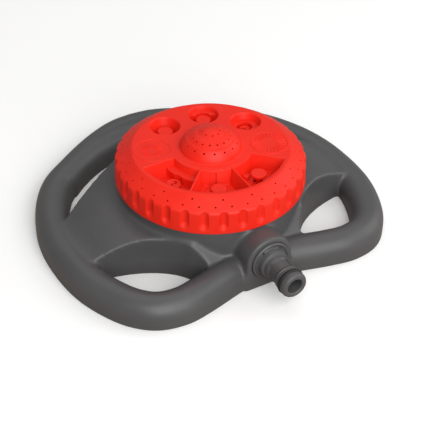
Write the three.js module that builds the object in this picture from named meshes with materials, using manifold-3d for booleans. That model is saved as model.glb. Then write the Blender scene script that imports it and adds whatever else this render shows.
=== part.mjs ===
// An eight-pattern dial sprinkler for the garden, in millimetres, +Z up.
// The origin is on the dial's axis, at ground level. The hose nipple points along -Y, the wings lie along X.
import * as THREE from 'three';
import { mergeVertices } from 'three/addons/utils/BufferGeometryUtils.js';
import Module from 'manifold-3d';

const wasm = await Module();
wasm.setup();

// ---------------------------------------------------------------- driving dimensions

const gap = 0.3;                 // clearance between pieces that touch
const patterns = 8;              // spray patterns, one per sector of the dial
const sector = 2 * Math.PI / patterns;

// dial, from its rim inwards
const dialRadius = 57.5;
const bandWidth = 10.3;          // sloping band between skirt and deck
const deckRadius = dialRadius - bandWidth;
const rimWidth = 2.2;            // flat rim outside the windows
const windowOuter = deckRadius - rimWidth;
const nozzleCircle = windowOuter - 9.9;  // the eight nozzles and ports lie on this circle
const galleryRadius = deckRadius - 0.6;  // wall between the sectors and the band's gallery
const roseRadius = 18.9;         // foot of the centre rose
const roseHeight = 12.4;         // above the deck
const windowInner = roseRadius + 5.3;
const windowDepth = 9.2;
const windowDraft = 3.2;
const craterRadius = 9.6;
const craterDepth = 8.2;
const floorThickness = 2;
const dialWall = 2.2;
const ribThickness = 1.6;
const fluteCount = 32;
const fluteRadius = 3.3;
const fluteDepth = 1.9;
const jetRadius = 0.6;
const buttonRadius = 4.75;
const buttonThickness = 2.4;
const craterButtonDrop = 3.4;    // from the deck down to a button's top
const squareButtonDrop = 4.4;
const flatFanButtonDrop = 3;
const stemRadius = 1.5;
const stemHole = 3;
const swirlRadius = 3.9;

// hub and wings
const wall = 2.4;                // wall of the base moulding
const hubRadius = dialRadius - 1.9;
const hubHeight = 33.4;
const neckHalfWidth = 31.6;      // body between the two front hand-holds
const neckRoot = { x: 0.694 * hubRadius, y: -0.788 * hubRadius };  // where it leaves the wings
const wingEndHeight = 15.6;
const wingHubHeight = 26.4;

// handle ring: a round-topped rail around the base
const railHalfWidth = 10.2;
const railHeight = 16.5;
const ringHalfWidth = hubRadius + 39.9;  // rail's centreline, sideways
const ringBack = hubRadius + 48;         // rail's centreline, behind the axis
const ringFront = hubRadius + 10.6;      // rail's centreline at the front lobes
const gripInset = 7.6;           // the back grip's centreline lies this far inside the rail's
const gripSpread = 0.8;          // radians to each side of the back

// heights of the dial above its hub
const dialBottom = hubHeight + 0.6;
const skirtTop = dialBottom + 14.2;
const deckHeight = skirtTop + 6.4;
const windowFloor = deckHeight - windowDepth;
const craterFloor = deckHeight - craterDepth;

// valve body in the hub
const valveTop = hubHeight - 0.4;
const valveThickness = 2.5;
const portAngle = -2.5 * sector; // sector in use: just left of the nipple
const detentAngle = 1.5 * sector;
const sealRadius = 8;
const sealLength = 9;
const plungerRadius = 2.6;
const plungerLength = 9;
const plungerWell = 18.4;        // height of the detent well's floor
const sealSpring = { radius: 6.6, wire: 0.5, turns: 4 };
const pinSpring = { radius: 2, wire: 0.3, turns: 4 };

// port plate
const plateBottom = valveTop + 4.9;
const plateThickness = 3;
const portRadius = 5.6;
const pivotRadius = 7;
const pivotBottom = 13.6;
const chamberBottom = plateBottom + plateThickness + gap;
const detentCircle = nozzleCircle - portRadius - 5.5;

// hose inlet
const inletHeight = 17.7;        // nipple axis above the ground
const bossFace = hubRadius + 13.4;
const bossHalfWidth = 15;
const spigotReach = bossFace + 26.5;     // nipple tip from the dial's axis
const boreRadius = 4.65;
const neckRadius = boreRadius + 1.95;
const stepRadius = neckRadius + 2;
const tipRadius = boreRadius + 3.4;
const landRadius = tipRadius - 0.15;     // behind the hose O-ring
const socketRadius = boreRadius + 2.6;   // bore of the valve body that takes the nipple's end
const socketWall = 2.2;
const plugRadius = socketRadius + socketWall + 0.15;  // passes the socket through the boss
const collarRadius = plugRadius + 2.6;
const collarDepth = 3;
const ringSection = 1.35;        // half thickness of the hose O-ring
const ringRadius = tipRadius + 0.35 - ringSection;
const hoseGroove = spigotReach - 5.3;
const sealSection = 0.7;         // half thickness of the inlet O-ring

// fasteners and bottom cover
const coverRadius = hubRadius - 6.6;
const coverThickness = 3;
const coverScrewCircle = coverRadius - 5.5;
const valveScrewCircle = coverRadius - 4;
const postRadius = 4.2;
const screwRadius = 1.5;
const screwHeadRadius = 3;
const screwShank = 2;            // pivot screw
const pivotHead = { radius: 4.4, height: 2.6 };
const coverHeadHeight = 1.3;
const valveHeadHeight = 1.6;
const washerThickness = 1.2;
const spigotInner = coverRadius - 5;
const inletGroove = spigotInner + 2.4;
const springSeat = inletHeight - 5.6;    // floor of the port well

// ---------------------------------------------------------------- materials

const plastic = (color, roughness) => new THREE.MeshStandardMaterial({ color, roughness, metalness: 0 });
const greyPlastic = plastic(0x4c4d50, 0.5);
const redPlastic = plastic(0xe62a22, 0.38);
const blackPlastic = plastic(0x2b2c2e, 0.5);
const rubber = plastic(0x141414, 0.75);
const steel = new THREE.MeshStandardMaterial({ color: 0xb9bcc0, roughness: 0.3, metalness: 1 });

// ---------------------------------------------------------------- solids and booleans

// A closed geometry becomes a solid once its shared vertices are merged and slivers are dropped.
function solid(geometry) {
  const bare = geometry.clone();
  bare.deleteAttribute('normal');
  bare.deleteAttribute('uv');
  const merged = mergeVertices(bare, 1e-4);
  const index = merged.index.array;
  const triangles = [];
  for (let i = 0; i < index.length; i += 3) {
    const [a, b, c] = [index[i], index[i + 1], index[i + 2]];
    if (a !== b && b !== c && c !== a) triangles.push(a, b, c);
  }
  const mesh = new wasm.Mesh({
    numProp: 3,
    vertProperties: new Float32Array(merged.attributes.position.array),
    triVerts: new Uint32Array(triangles),
  });
  return new wasm.Manifold(mesh);
}

function toGeometry(manifold) {
  const mesh = manifold.getMesh();
  const geometry = new THREE.BufferGeometry();
  geometry.setAttribute('position', new THREE.BufferAttribute(mesh.vertProperties, 3));
  geometry.setIndex(new THREE.BufferAttribute(mesh.triVerts, 1));
  geometry.computeVertexNormals();
  return geometry;
}

// A closed profile of [radius, height] points turned about +Z.
function turned(profile, segments = 48) {
  const points = profile.map(([r, z]) => new THREE.Vector2(r, z));
  points.push(points[0].clone());
  const geometry = new THREE.LatheGeometry(points, segments);
  geometry.rotateX(Math.PI / 2);
  return outward(geometry);
}

// Flips a geometry whose faces point inwards.
function outward(geometry) {
  const position = geometry.attributes.position;
  const index = geometry.index.array;
  const [a, b, c] = [new THREE.Vector3(), new THREE.Vector3(), new THREE.Vector3()];
  let volume = 0;
  for (let i = 0; i < index.length; i += 3) {
    a.fromBufferAttribute(position, index[i]);
    b.fromBufferAttribute(position, index[i + 1]);
    c.fromBufferAttribute(position, index[i + 2]);
    volume += a.dot(b.cross(c));
  }
  if (volume < 0) geometry.setIndex(Array.from(index).reverse());
  return geometry;
}

function withIndex(geometry) {
  return geometry.index ? geometry : mergeVertices(geometry, 1e-5);
}

function cylinder(radius, bottom, top, segments = 24, topRadius = radius) {
  const geometry = new THREE.CylinderGeometry(topRadius, radius, top - bottom, segments);
  geometry.rotateX(Math.PI / 2);
  geometry.translate(0, 0, (top + bottom) / 2);
  return geometry;
}

function tubeRing(inner, outer, bottom, top, segments = 48) {
  return turned([[inner, bottom], [outer, bottom], [outer, top], [inner, top]], segments);
}

function box(x0, x1, y0, y1, z0, z1) {
  const geometry = new THREE.BoxGeometry(x1 - x0, y1 - y0, z1 - z0);
  geometry.translate((x0 + x1) / 2, (y0 + y1) / 2, (z0 + z1) / 2);
  return geometry;
}

// A flat outline raised from one height to another.
function raised(shape, bottom, top, curveSegments = 12) {
  const options = { depth: top - bottom, bevelEnabled: false, curveSegments };
  const geometry = new THREE.ExtrudeGeometry(shape, options);
  geometry.translate(0, 0, bottom);
  return outward(withIndex(geometry));
}

function moved(geometry, x, y, z = 0) {
  return geometry.clone().translate(x, y, z);
}

function spun(geometry, angle) {
  return geometry.clone().rotateZ(angle);
}

// A geometry moved out to a circle about the axis, at an angle.
function onCircle(geometry, radius, angle) {
  return spun(moved(geometry, radius, 0), angle);
}

function mirrored(geometry) {
  return outward(geometry.clone().scale(-1, 1, 1));
}

const both = (geometry) => solid(geometry).add(solid(mirrored(geometry)));
const asSolid = (item) => (item.isBufferGeometry ? solid(item) : item);
const joined = (list) => list.map(asSolid).reduce((whole, item) => whole.add(item));
const cut = (body, list) => list.reduce((rest, tool) => rest.subtract(asSolid(tool)), body);
const angles = (count, first = 0) => Array.from({ length: count }, (_, k) => first + k * 2 * Math.PI / count);

// ---------------------------------------------------------------- base

// Half of the handle ring's centreline, from the connector boss round to just past the middle of the back.
function railPath() {
  const stretch = ringHalfWidth / 95.5;
  const back = ringBack / 103.6;
  const front = ringFront / 66.2;
  const points = [
    [6 * stretch, -54.5 * front], [26 * stretch, -59.6 * front], [44 * stretch, -64.2 * front],
    [57 * stretch, -ringFront], [70 * stretch, -63.6 * front], [79.8 * stretch, -55.4 * front],
    [88 * stretch, -41 * front], [93.5 * stretch, -24 * front], [ringHalfWidth, -3],
    [94 * stretch, 20 * back], [87.5 * stretch, 42 * back], [74 * stretch, 64.5 * back],
    [55.5 * stretch, 79 * back], [33 * stretch, 93.4 * back], [14 * stretch, 101.8 * back], [-1, ringBack],
  ];
  return new THREE.CatmullRomCurve3(points.map(([x, y]) => new THREE.Vector3(x, y, 0)), false, 'centripetal');
}

// Round-topped section of the rail: straight flanks from the ground and a half circle on top.
// The section's first axis points down once it is swept along a level path.
function railSection(inset, bottom) {
  const half = railHalfWidth - inset;
  const springing = railHeight - railHalfWidth;
  const shape = new THREE.Shape();
  shape.moveTo(-bottom, -half);
  shape.lineTo(-springing, -half);
  shape.absarc(-springing, 0, half, -Math.PI / 2, -1.5 * Math.PI, true);
  shape.lineTo(-bottom, half);
  return shape;
}

function rail(path, inset, bottom, steps, curveSegments) {
  const geometry = new THREE.ExtrudeGeometry(railSection(inset, bottom), {
    extrudePath: path, steps, bevelEnabled: false, curveSegments,
  });
  return outward(withIndex(geometry));
}

// The grip that thickens the back of the ring on its inside.
function backGripPath() {
  const points = [];
  for (let k = -6; k <= 6; k++) {
    const angle = Math.PI / 2 + k / 6 * gripSpread;
    const radius = ringBack - gripInset + 3.2 * (k / 6) ** 4;
    points.push(new THREE.Vector3(radius * Math.cos(angle), radius * Math.sin(angle), 0));
  }
  return new THREE.CatmullRomCurve3(points);
}

// Outline of the two wings and the body round the hub, drawn in by an inset.
function wingOutline(inset) {
  const end = ringHalfWidth - inset * 0.5;
  const back = { corner: 18.6 - inset, shoulder: hubRadius + 0.8 - inset, middle: hubRadius + 10.4 - inset };
  const shoulder = 0.61 * hubRadius;
  const corner = -18.4 + inset;
  const root = { x: neckRoot.x - inset, y: neckRoot.y };
  const outer = { x: end - 32, y: corner - 1 };
  const inner = { x: root.x + 5.5, y: root.y + 11.3 + inset };
  const shape = new THREE.Shape();
  shape.moveTo(end, corner);
  shape.lineTo(end, back.corner);
  shape.lineTo(shoulder, back.shoulder);
  shape.quadraticCurveTo(shoulder / 2, back.middle, 0, back.middle);
  shape.quadraticCurveTo(-shoulder / 2, back.middle, -shoulder, back.shoulder);
  shape.lineTo(-end, back.corner);
  shape.lineTo(-end, corner);
  shape.bezierCurveTo(-outer.x, outer.y, -inner.x, inner.y, -root.x, root.y);
  shape.lineTo(root.x, root.y);
  shape.bezierCurveTo(inner.x, inner.y, outer.x, outer.y, end, corner);
  return shape;
}

// The wings' top falls away from the hub to the handle ring.
function wingSlope(drop) {
  const rise = wingHubHeight - wingEndHeight;
  const low = wingEndHeight - drop;
  const edge = ringHalfWidth + 6;
  return turned([
    [0, -1], [edge, -1], [edge, low - 1], [ringHalfWidth - 6, low + 0.12 * rise],
    [hubRadius + 20.4, low + 0.62 * rise], [hubRadius + 10.4, low + 0.9 * rise],
    [hubRadius, low + rise], [0, low + rise],
  ], 48);
}

// Body between the hand-holds, falling from the hub to the front of the ring. It narrows round the hub.
function neck(inset, bottom) {
  const front = inset - ringFront + 4;
  const back = -0.54 * hubRadius;
  const side = new THREE.Shape();
  side.moveTo(back, bottom);
  side.lineTo(back, wingHubHeight - inset);
  side.lineTo(neckRoot.y, wingHubHeight - 0.2 - inset);
  side.lineTo(2.2 - hubRadius, railHeight - 1.5 - inset);
  side.lineTo(front, railHeight - 2.9 - inset);
  side.lineTo(front, bottom);
  const slope = raised(side, -neckRoot.x, neckRoot.x);
  slope.rotateX(Math.PI / 2);
  slope.rotateZ(Math.PI / 2);

  const half = neckHalfWidth - inset;
  const plan = new THREE.Shape();
  plan.moveTo(inset - neckRoot.x, back);
  plan.lineTo(inset - neckRoot.x, neckRoot.y);
  plan.lineTo(-half - 2.6, neckRoot.y - 4.8);
  plan.lineTo(-half, neckRoot.y - 8.7);
  plan.lineTo(-half, -ringFront);
  plan.lineTo(half, -ringFront);
  plan.lineTo(half, neckRoot.y - 8.7);
  plan.lineTo(half + 2.6, neckRoot.y - 4.8);
  plan.lineTo(neckRoot.x - inset, neckRoot.y);
  plan.lineTo(neckRoot.x - inset, back);
  return solid(outward(slope)).intersect(solid(raised(plan, bottom, hubHeight)));
}

// Arched block that the nipple screws into.
function boss(inset, bottom) {
  const half = bossHalfWidth - inset;
  const shape = new THREE.Shape();
  shape.moveTo(-half, bottom);
  shape.lineTo(half, bottom);
  shape.lineTo(half, inletHeight);
  shape.absarc(0, inletHeight, half, 0, Math.PI, false);
  shape.lineTo(-half, bottom);
  const geometry = raised(shape, hubRadius - 10.6, bossFace - inset, 9);
  geometry.rotateX(Math.PI / 2);
  return outward(geometry);
}

// A rod along the nipple's axis, from one distance in front of the dial's axis to another.
function alongInlet(radius, from, to, segments = 32) {
  const geometry = cylinder(radius, from, to, segments);
  geometry.rotateX(Math.PI / 2);
  geometry.translate(0, 0, inletHeight);
  return geometry;
}

const postAngles = angles(4, Math.PI / 4);
const postHeight = valveTop - valveThickness - gap;

function baseShell() {
  const below = -1;
  const wings = solid(wingSlope(0)).intersect(solid(raised(wingOutline(0), 0, hubHeight, 9)));
  const outer = joined([
    both(rail(railPath(), 0, 0, 36, 4)),
    rail(backGripPath(), 0, 0, 10, 4),
    wings,
    cylinder(hubRadius + 0.6, 0, hubHeight, 60, hubRadius),
    neck(0, 0),
    boss(0, 0),
  ]);
  const hollow = joined([
    both(rail(railPath(), wall, below, 20, 2)),
    solid(wingSlope(wall)).intersect(solid(raised(wingOutline(wall), below, hubHeight, 6))),
    neck(wall, below),
    cylinder(coverRadius + gap, below, valveTop, 40),
  ]);
  const seat = cylinder(hubRadius - wall, postHeight, hubHeight + 1, 60);
  const shell = cut(outer, [hollow, seat]);

  const ledge = tubeRing(coverRadius - 2, hubRadius - 1, postHeight - 3, postHeight, 40);
  const posts = postAngles.map((angle) => onCircle(cylinder(postRadius, coverThickness + gap, postHeight, 12),
    valveScrewCircle, angle));
  const bossCore = alongInlet(bossHalfWidth - 0.8, hubRadius - wall / 2, bossFace - 1, 24);
  const ribX = hubRadius + 16.4;
  const ribs = [-ribX, ribX].map((x) => (
    solid(box(x - ribThickness / 2, x + ribThickness / 2, -30, 40, 0.4, hubHeight)).intersect(wings)
  ));
  const skirt = tubeRing(coverRadius + gap, coverRadius + gap + wall, 0, postHeight - 2, 40);
  const body = joined([shell, ledge, ...posts, bossCore, ...ribs, skirt]);

  const pilots = postAngles.flatMap((angle) => [
    onCircle(cylinder(screwRadius + gap, 0, 16, 8), coverScrewCircle, angle),
    onCircle(cylinder(screwRadius + gap, postHeight - 11, postHeight + 1, 8), valveScrewCircle, angle),
  ]);
  const inlet = alongInlet(plugRadius + gap, spigotInner - 4, bossFace + 1, 24);
  const collarSeat = alongInlet(collarRadius + gap, bossFace - collarDepth, bossFace + 1, 28);
  return cut(body, [...pilots, inlet, collarSeat]);
}

// Disc that carries the turning dial: pivot bore, water channel, port well and detent well.
function valveBody() {
  const top = valveTop;
  const deck = top - valveThickness;
  const port = pointOn(nozzleCircle, portAngle);
  const bend = { x: 0, y: -spigotInner };
  const channel = (radius, over) => joined([
    alongInlet(radius, spigotInner - over, coverRadius - gap - 0.2, 16),
    levelRod(radius, bend, port, over),
  ]);
  const body = joined([
    cylinder(hubRadius - wall - gap, deck, top, 40),
    cylinder(pivotRadius + 4, pivotBottom + gap, top, 24),
    channel(boreRadius + 2.4, 0.6),
    alongInlet(socketRadius + socketWall, spigotInner - 3, coverRadius - gap - 0.8, 20),
    moved(cylinder(sealRadius + 2.6, springSeat - wall, top, 24), port.x, port.y),
    onCircle(cylinder(plungerRadius + 2.6, plungerWell - wall, top, 14), detentCircle, detentAngle),
  ]);
  const screws = postAngles.map((angle) => onCircle(cylinder(screwRadius + gap, deck - 1, top + 1, 8),
    valveScrewCircle, angle));
  return cut(body, [
    cylinder(pivotRadius + gap, 0, top + 1, 24),
    channel(boreRadius, 0.3),
    alongInlet(socketRadius, spigotInner - gap, coverRadius + 2, 16),
    moved(cylinder(sealRadius + gap, springSeat, top + 1, 24), port.x, port.y),
    onCircle(cylinder(plungerRadius + gap, plungerWell, top + 1, 14), detentCircle, detentAngle),
    ...screws,
  ]);
}

// A point on a circle about the axis.
function pointOn(radius, angle) {
  return { x: radius * Math.cos(angle), y: radius * Math.sin(angle) };
}

// A rod at the nipple's height between two points, run on past both by a little.
function levelRod(radius, from, to, over) {
  const span = Math.hypot(to.x - from.x, to.y - from.y);
  const geometry = cylinder(radius, -over, span, 16);
  geometry.rotateY(Math.PI / 2);
  geometry.rotateZ(Math.atan2(to.y - from.y, to.x - from.x));
  geometry.translate(from.x, from.y, inletHeight);
  return geometry;
}

// Rubber cup that the spring presses up towards the port plate.
function portSeal() {
  const top = plateBottom - gap;
  const outer = sealRadius;
  return turned([
    [boreRadius, top - sealLength], [outer - 1.6, top - sealLength], [outer - 1.6, top - 5.6],
    [outer, top - 4.8], [outer, top - 1], [outer - 0.8, top], [boreRadius + 1, top],
    [boreRadius + 1, top - 3], [boreRadius, top - 3.6],
  ], 20);
}

// Round-nosed pin that clicks into the port plate's dimples, drawn riding on the plate between two clicks.
function detentPlunger() {
  const top = plateBottom - gap;
  return turned([
    [0, top - plungerLength], [plungerRadius - 0.8, top - plungerLength], [plungerRadius - 0.8, top - 6],
    [plungerRadius, top - 5.6],
    [plungerRadius, top - 2], [plungerRadius * 0.85, top - 1], [plungerRadius * 0.5, top - 0.25], [0, top],
  ], 12);
}

// A coil spring standing on its end.
class Helix extends THREE.Curve {
  constructor(radius, bottom, top, turns) {
    super();
    Object.assign(this, { radius, bottom, top, turns });
  }

  getPoint(t, target = new THREE.Vector3()) {
    const angle = 2 * Math.PI * this.turns * t;
    const height = this.bottom + (this.top - this.bottom) * t;
    return target.set(this.radius * Math.cos(angle), this.radius * Math.sin(angle), height);
  }
}

function spring({ radius, wire, turns }, bottom, top) {
  const section = new THREE.Shape();
  section.absarc(0, 0, wire, 0, 2 * Math.PI, false);
  const path = new Helix(radius, bottom + wire, top - wire, turns);
  const geometry = new THREE.ExtrudeGeometry(section, {
    extrudePath: path, steps: Math.round(turns * 8), bevelEnabled: false, curveSegments: 3,
  });
  return outward(withIndex(geometry));
}

// O-ring about +Z at its own origin.
function ring(radius, section, segments = 22) {
  const profile = angles(6).map((angle) => [radius + section * Math.cos(angle), section * Math.sin(angle)]);
  return turned(profile, segments);
}

// A ring laid round the nipple's axis.
function inletRing(radius, section, distance) {
  const geometry = ring(radius, section);
  geometry.rotateX(Math.PI / 2);
  geometry.translate(0, -distance, inletHeight);
  return geometry;
}

// Hose nipple: collar in the boss, stepped neck, O-ring groove and tip.
function inletSpigot() {
  const side = ringSection + 0.15;
  const grooveBottom = ringRadius - ringSection - gap;
  const endRadius = socketRadius - gap;
  const sealBottom = socketRadius - gap / 2 - 2 * sealSection - 0.2;
  const shoulder = bossFace - collarDepth + gap;
  const profile = [
    [boreRadius, spigotInner], [endRadius, spigotInner], [endRadius, inletGroove - 1.2],
    [sealBottom, inletGroove - 1.2], [sealBottom, inletGroove + 1.2], [endRadius, inletGroove + 1.2],
    [endRadius, coverRadius + 3.2], [plugRadius, coverRadius + 3.2], [plugRadius, shoulder],
    [collarRadius, shoulder], [collarRadius, bossFace + 1], [collarRadius - 0.8, bossFace + 1.6],
    [stepRadius, bossFace + 1.9], [stepRadius, bossFace + 5],
    [neckRadius, bossFace + 5.8], [neckRadius, hoseGroove - 3.6],
    [landRadius, hoseGroove - 2.6], [landRadius, hoseGroove - side],
    [grooveBottom, hoseGroove - side], [grooveBottom, hoseGroove + side],
    [tipRadius, hoseGroove + side], [tipRadius, spigotReach - 1.2], [tipRadius - 1.1, spigotReach],
    [boreRadius + 0.5, spigotReach],
    [boreRadius, spigotReach - 0.6],
  ];
  const body = solid(turned(profile, 20).rotateX(Math.PI / 2).translate(0, 0, inletHeight));
  const ribs = angles(4, Math.PI / 4).map((angle) => {
    const rib = box(neckRadius - 0.6, neckRadius + 0.9, -0.7, 0.7, bossFace + 5.5, hoseGroove - 3.9);
    return spun(rib, angle).rotateX(Math.PI / 2).translate(0, 0, inletHeight);
  });
  return joined([body, ...ribs]);
}

function bottomCover() {
  const holes = postAngles.flatMap((angle) => [
    onCircle(cylinder(screwRadius + gap, -1, coverThickness + 1, 8), coverScrewCircle, angle),
    onCircle(cylinder(screwHeadRadius + gap, -1, 1.6, 12), coverScrewCircle, angle),
  ]);
  return cut(solid(cylinder(coverRadius, 0, coverThickness, 48)), holes);
}

// Pan-head screw with a cross recess; its head is at the origin, facing -Z, and it runs up +Z.
function screw(shank, head, headHeight, length) {
  const body = turned([
    [0, 0], [head - 0.5, 0], [head, 0.5], [head, headHeight], [shank, headHeight], [shank, length - 1],
    [0, length],
  ], 10);
  const slot = head * 0.55;
  return cut(solid(body), [
    box(-slot, slot, -0.4, 0.4, -1, headHeight * 0.55), box(-0.4, 0.4, -slot, slot, -1, headHeight * 0.55),
  ]);
}

// ---------------------------------------------------------------- dial

const windowAngles = [-3.5, -2.5, -1.5].map((k) => k * sector);
const craterAngles = [2.5, 1.5, 0.5].map((k) => k * sector);
const sectorAngles = angles(patterns, sector / 2);
const ringWallInner = roseRadius - 1.9;

const roseFacets = 32;

// Outside of the rose above the deck, from its foot to its top.
const roseProfile = [
  [roseRadius, 0], [0.94 * roseRadius, 0.18 * roseHeight], [0.73 * roseRadius, 0.58 * roseHeight],
  [0.44 * roseRadius, 0.84 * roseHeight], [0.21 * roseRadius, 0.96 * roseHeight], [0, roseHeight],
];

function dialOutside() {
  const body = turned([
    [0, dialBottom], [dialRadius - 0.5, dialBottom], [dialRadius, dialBottom + 0.5],
    [dialRadius, dialBottom + 1.6], [dialRadius - 0.5, skirtTop], [deckRadius, deckHeight], [0, deckHeight],
  ], 64);
  const rose = turned([[0, deckHeight - 1], [roseRadius, deckHeight - 1],
    ...roseProfile.map(([r, z]) => [r, deckHeight + z])], roseFacets);
  return joined([body, spun(rose, Math.PI / roseFacets)]);
}

// Space for the port plate, the gallery behind the band's jets and the chamber under the rose.
function dialSpaces() {
  const ceiling = deckHeight - dialWall;
  const side = dialRadius - dialWall;
  const gallery = turned([
    [galleryRadius + 0.6, chamberBottom - 1], [side, chamberBottom - 1], [side, skirtTop - 1.2],
    [galleryRadius + 0.6, ceiling - 0.2],
  ], 40);
  const roof = [3, 2, 1].map((k) => roseProfile[roseProfile.length - k]);
  const rose = turned([
    [0, chamberBottom - 1], [ringWallInner, chamberBottom - 1], [ringWallInner, ceiling],
    [roseProfile[2][0] - dialWall, deckHeight + roseProfile[2][1] - dialWall],
    ...roof.map(([r, z]) => [Math.max(0, r - dialWall), deckHeight + z - dialWall]),
  ], roseFacets);
  const plateSpace = cylinder(side, dialBottom - 1, chamberBottom, 48);
  return [plateSpace, gallery, spun(rose, Math.PI / roseFacets)];
}

// Water chamber of one sector, between its two partitions.
function chamber(angle, ceiling) {
  const band = tubeRing(roseRadius, galleryRadius - 1, chamberBottom - 1, ceiling, 40);
  return solid(band).intersect(solid(sectorWedge(angle, ribThickness / 2, chamberBottom - 2, ceiling + 1)));
}

// Sector of a disc, cut off by lines that lie a distance inside its two radii.
function sectorWedge(angle, halfRib, bottom, top) {
  const reach = dialRadius + 10;
  const half = sector / 2;
  const apex = halfRib / Math.sin(half);
  const shape = new THREE.Shape();
  shape.moveTo(apex, 0);
  shape.lineTo(apex + reach * Math.cos(half), -reach * Math.sin(half));
  shape.lineTo(apex + reach * Math.cos(half), reach * Math.sin(half));
  shape.lineTo(apex, 0);
  return spun(raised(shape, bottom, top), angle);
}

function windowRecess(angle) {
  const inner = windowInner;
  const band = turned([
    [inner, deckHeight + 1], [inner + windowDraft, windowFloor], [windowOuter - windowDraft, windowFloor],
    [windowOuter, deckHeight], [windowOuter, deckHeight + 1],
  ], 48);
  return solid(band).intersect(solid(sectorWedge(angle, ribThickness / 2, windowFloor - 1, deckHeight + 2)));
}

function crater(inset, bottom, top) {
  const floorRadius = craterRadius - 3 + inset;
  return cylinder(floorRadius, bottom, top, 24, craterRadius + inset);
}

function bandHoles() {
  const run = bandWidth - 0.5;
  const drop = deckHeight - skirtTop;
  const rows = [
    { count: 36, share: 0.65, turn: 2.8 },
    { count: 18, share: 0.275, turn: 7.8 },
  ];
  return rows.flatMap(({ count, share, turn }) => {
    const hole = cylinder(jetRadius, -3, 2, 4);
    hole.rotateY(Math.atan2(drop, run));
    const raisedHole = moved(hole, deckRadius + share * run, 0, deckHeight - share * drop);
    return angles(count, THREE.MathUtils.degToRad(turn)).map((angle) => spun(raisedHole, angle));
  });
}

function roseHoles() {
  const rows = [
    { count: 16, reach: 0.83, rise: 0.43, turn: 0, tilt: 55 },
    { count: 16, reach: 0.58, rise: 0.71, turn: 11.25, tilt: 32 },
    { count: 8, reach: 0.275, rise: 0.93, turn: 22.5, tilt: 16 },
  ];
  return rows.flatMap(({ count, reach, rise, turn, tilt }) => {
    const hole = cylinder(jetRadius, -3, 2, 4);
    hole.rotateY(THREE.MathUtils.degToRad(tilt));
    const raisedHole = moved(hole, reach * roseRadius, 0, deckHeight + rise * roseHeight);
    return angles(count, THREE.MathUtils.degToRad(turn)).map((angle) => spun(raisedHole, angle));
  });
}

function flutes() {
  const centre = dialRadius + fluteRadius - fluteDepth;
  const bottom = dialBottom + 2.2;
  const top = skirtTop - 0.4;
  const groove = turned([
    [0, bottom], [fluteRadius, bottom], [fluteRadius, top], [0.75 * fluteRadius, top + 0.7 * fluteRadius],
    [0, top + fluteRadius],
  ], 10);
  return angles(fluteCount).map((angle) => onCircle(groove, centre, angle));
}

function dialCover() {
  const at = (geometry, angle) => onCircle(geometry, nozzleCircle, angle);
  const ceiling = deckHeight - dialWall;
  const lowChambers = windowAngles.map((angle) => chamber(angle, windowFloor - floorThickness));
  const highChambers = craterAngles.map((angle) => cut(chamber(angle, ceiling), [
    at(crater(1.8, craterFloor - floorThickness, ceiling + 1), angle),
  ]));
  const plainChambers = [-0.5, 3.5].map((k) => chamber(k * sector, ceiling));
  const recesses = windowAngles.map(windowRecess);
  const craters = craterAngles.map((angle) => at(crater(0, craterFloor, deckHeight + 0.01), angle));
  const bores = [...windowAngles, ...craterAngles].map((angle) => at(
    cylinder(stemHole, chamberBottom, windowFloor + 3, 12), angle));
  const gates = [
    spun(box(galleryRadius - 3, galleryRadius + 3, -5, 5, chamberBottom - 1, chamberBottom + 4), -sector / 2),
    spun(box(ringWallInner - 2, roseRadius + 2, -4, 4, chamberBottom - 1, chamberBottom + 4), 3.5 * sector),
  ];
  const open = cut(dialOutside(), [
    ...dialSpaces(), ...lowChambers, ...highChambers, ...plainChambers,
    ...recesses, ...craters, ...bores, ...gates,
    ...flutes(), ...bandHoles(), ...roseHoles(),
  ]);
  return joined([open, halfMoonShelf(), swirlShelf(), archShelf()]);
}

// Half-moon step in the middle crater, on its outer side.
function halfMoonShelf() {
  const disc = cylinder(craterRadius - 1.4, craterFloor - 0.02, deckHeight - 2.3, 24);
  const half = solid(disc).intersect(solid(box(2.6, 20, -20, 20, craterFloor - 1, deckHeight)));
  const clear = cylinder(buttonRadius + gap, craterFloor - 1, deckHeight, 20);
  return solid(onCircle(toGeometry(cut(half, [clear])), nozzleCircle, craterAngles[1]));
}

// Flat step in the right crater, with a round opening over the swirl nozzle.
function swirlShelf() {
  const disc = cylinder(craterRadius - 1.2, craterFloor - 0.5, deckHeight - 4, 24);
  const opening = moved(cylinder(4.6, craterFloor - 2, deckHeight, 20), -1.6, 0);
  const clear = cylinder(swirlRadius + gap, craterFloor - 1, deckHeight, 20);
  return solid(onCircle(toGeometry(cut(solid(disc), [opening, clear])), nozzleCircle, craterAngles[2]));
}

// Curved step along the inner side of the left window.
function archShelf() {
  const band = tubeRing(windowInner - 0.5, windowInner + 6.5, windowFloor - 0.5, deckHeight - 4.2, 48);
  const wedge = sectorWedge(windowAngles[0], -0.1, windowFloor - 1, deckHeight);
  return solid(band).intersect(solid(wedge)).subtract(solid(onCircle(
    cylinder(buttonRadius + 0.6, windowFloor - 1, deckHeight, 20), nozzleCircle, windowAngles[0])));
}

// Mushroom-shaped deflector: a stem with three fins that grip the nozzle's bore, and a cap over the jet.
function button(floor, capBottom) {
  const cap = turned([
    [0, capBottom], [buttonRadius - 0.6, capBottom], [buttonRadius, capBottom + 0.5],
    [buttonRadius, capBottom + buttonThickness - 0.7], [buttonRadius - 0.6, capBottom + buttonThickness],
    [0, capBottom + buttonThickness],
  ], 18);
  const stem = cylinder(stemRadius, floor - 3, capBottom + 0.5, 8);
  const fin = box(0, stemHole - gap, -0.5, 0.5, floor - 3, floor - 0.4);
  const fins = angles(3).map((angle) => spun(fin, angle));
  return joined([cap, stem, ...fins]);
}

// The part of a nozzle that sits in its bore.
const nozzlePlug = (floor) => cylinder(stemHole - gap, floor - 3, floor + 1, 12);

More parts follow.
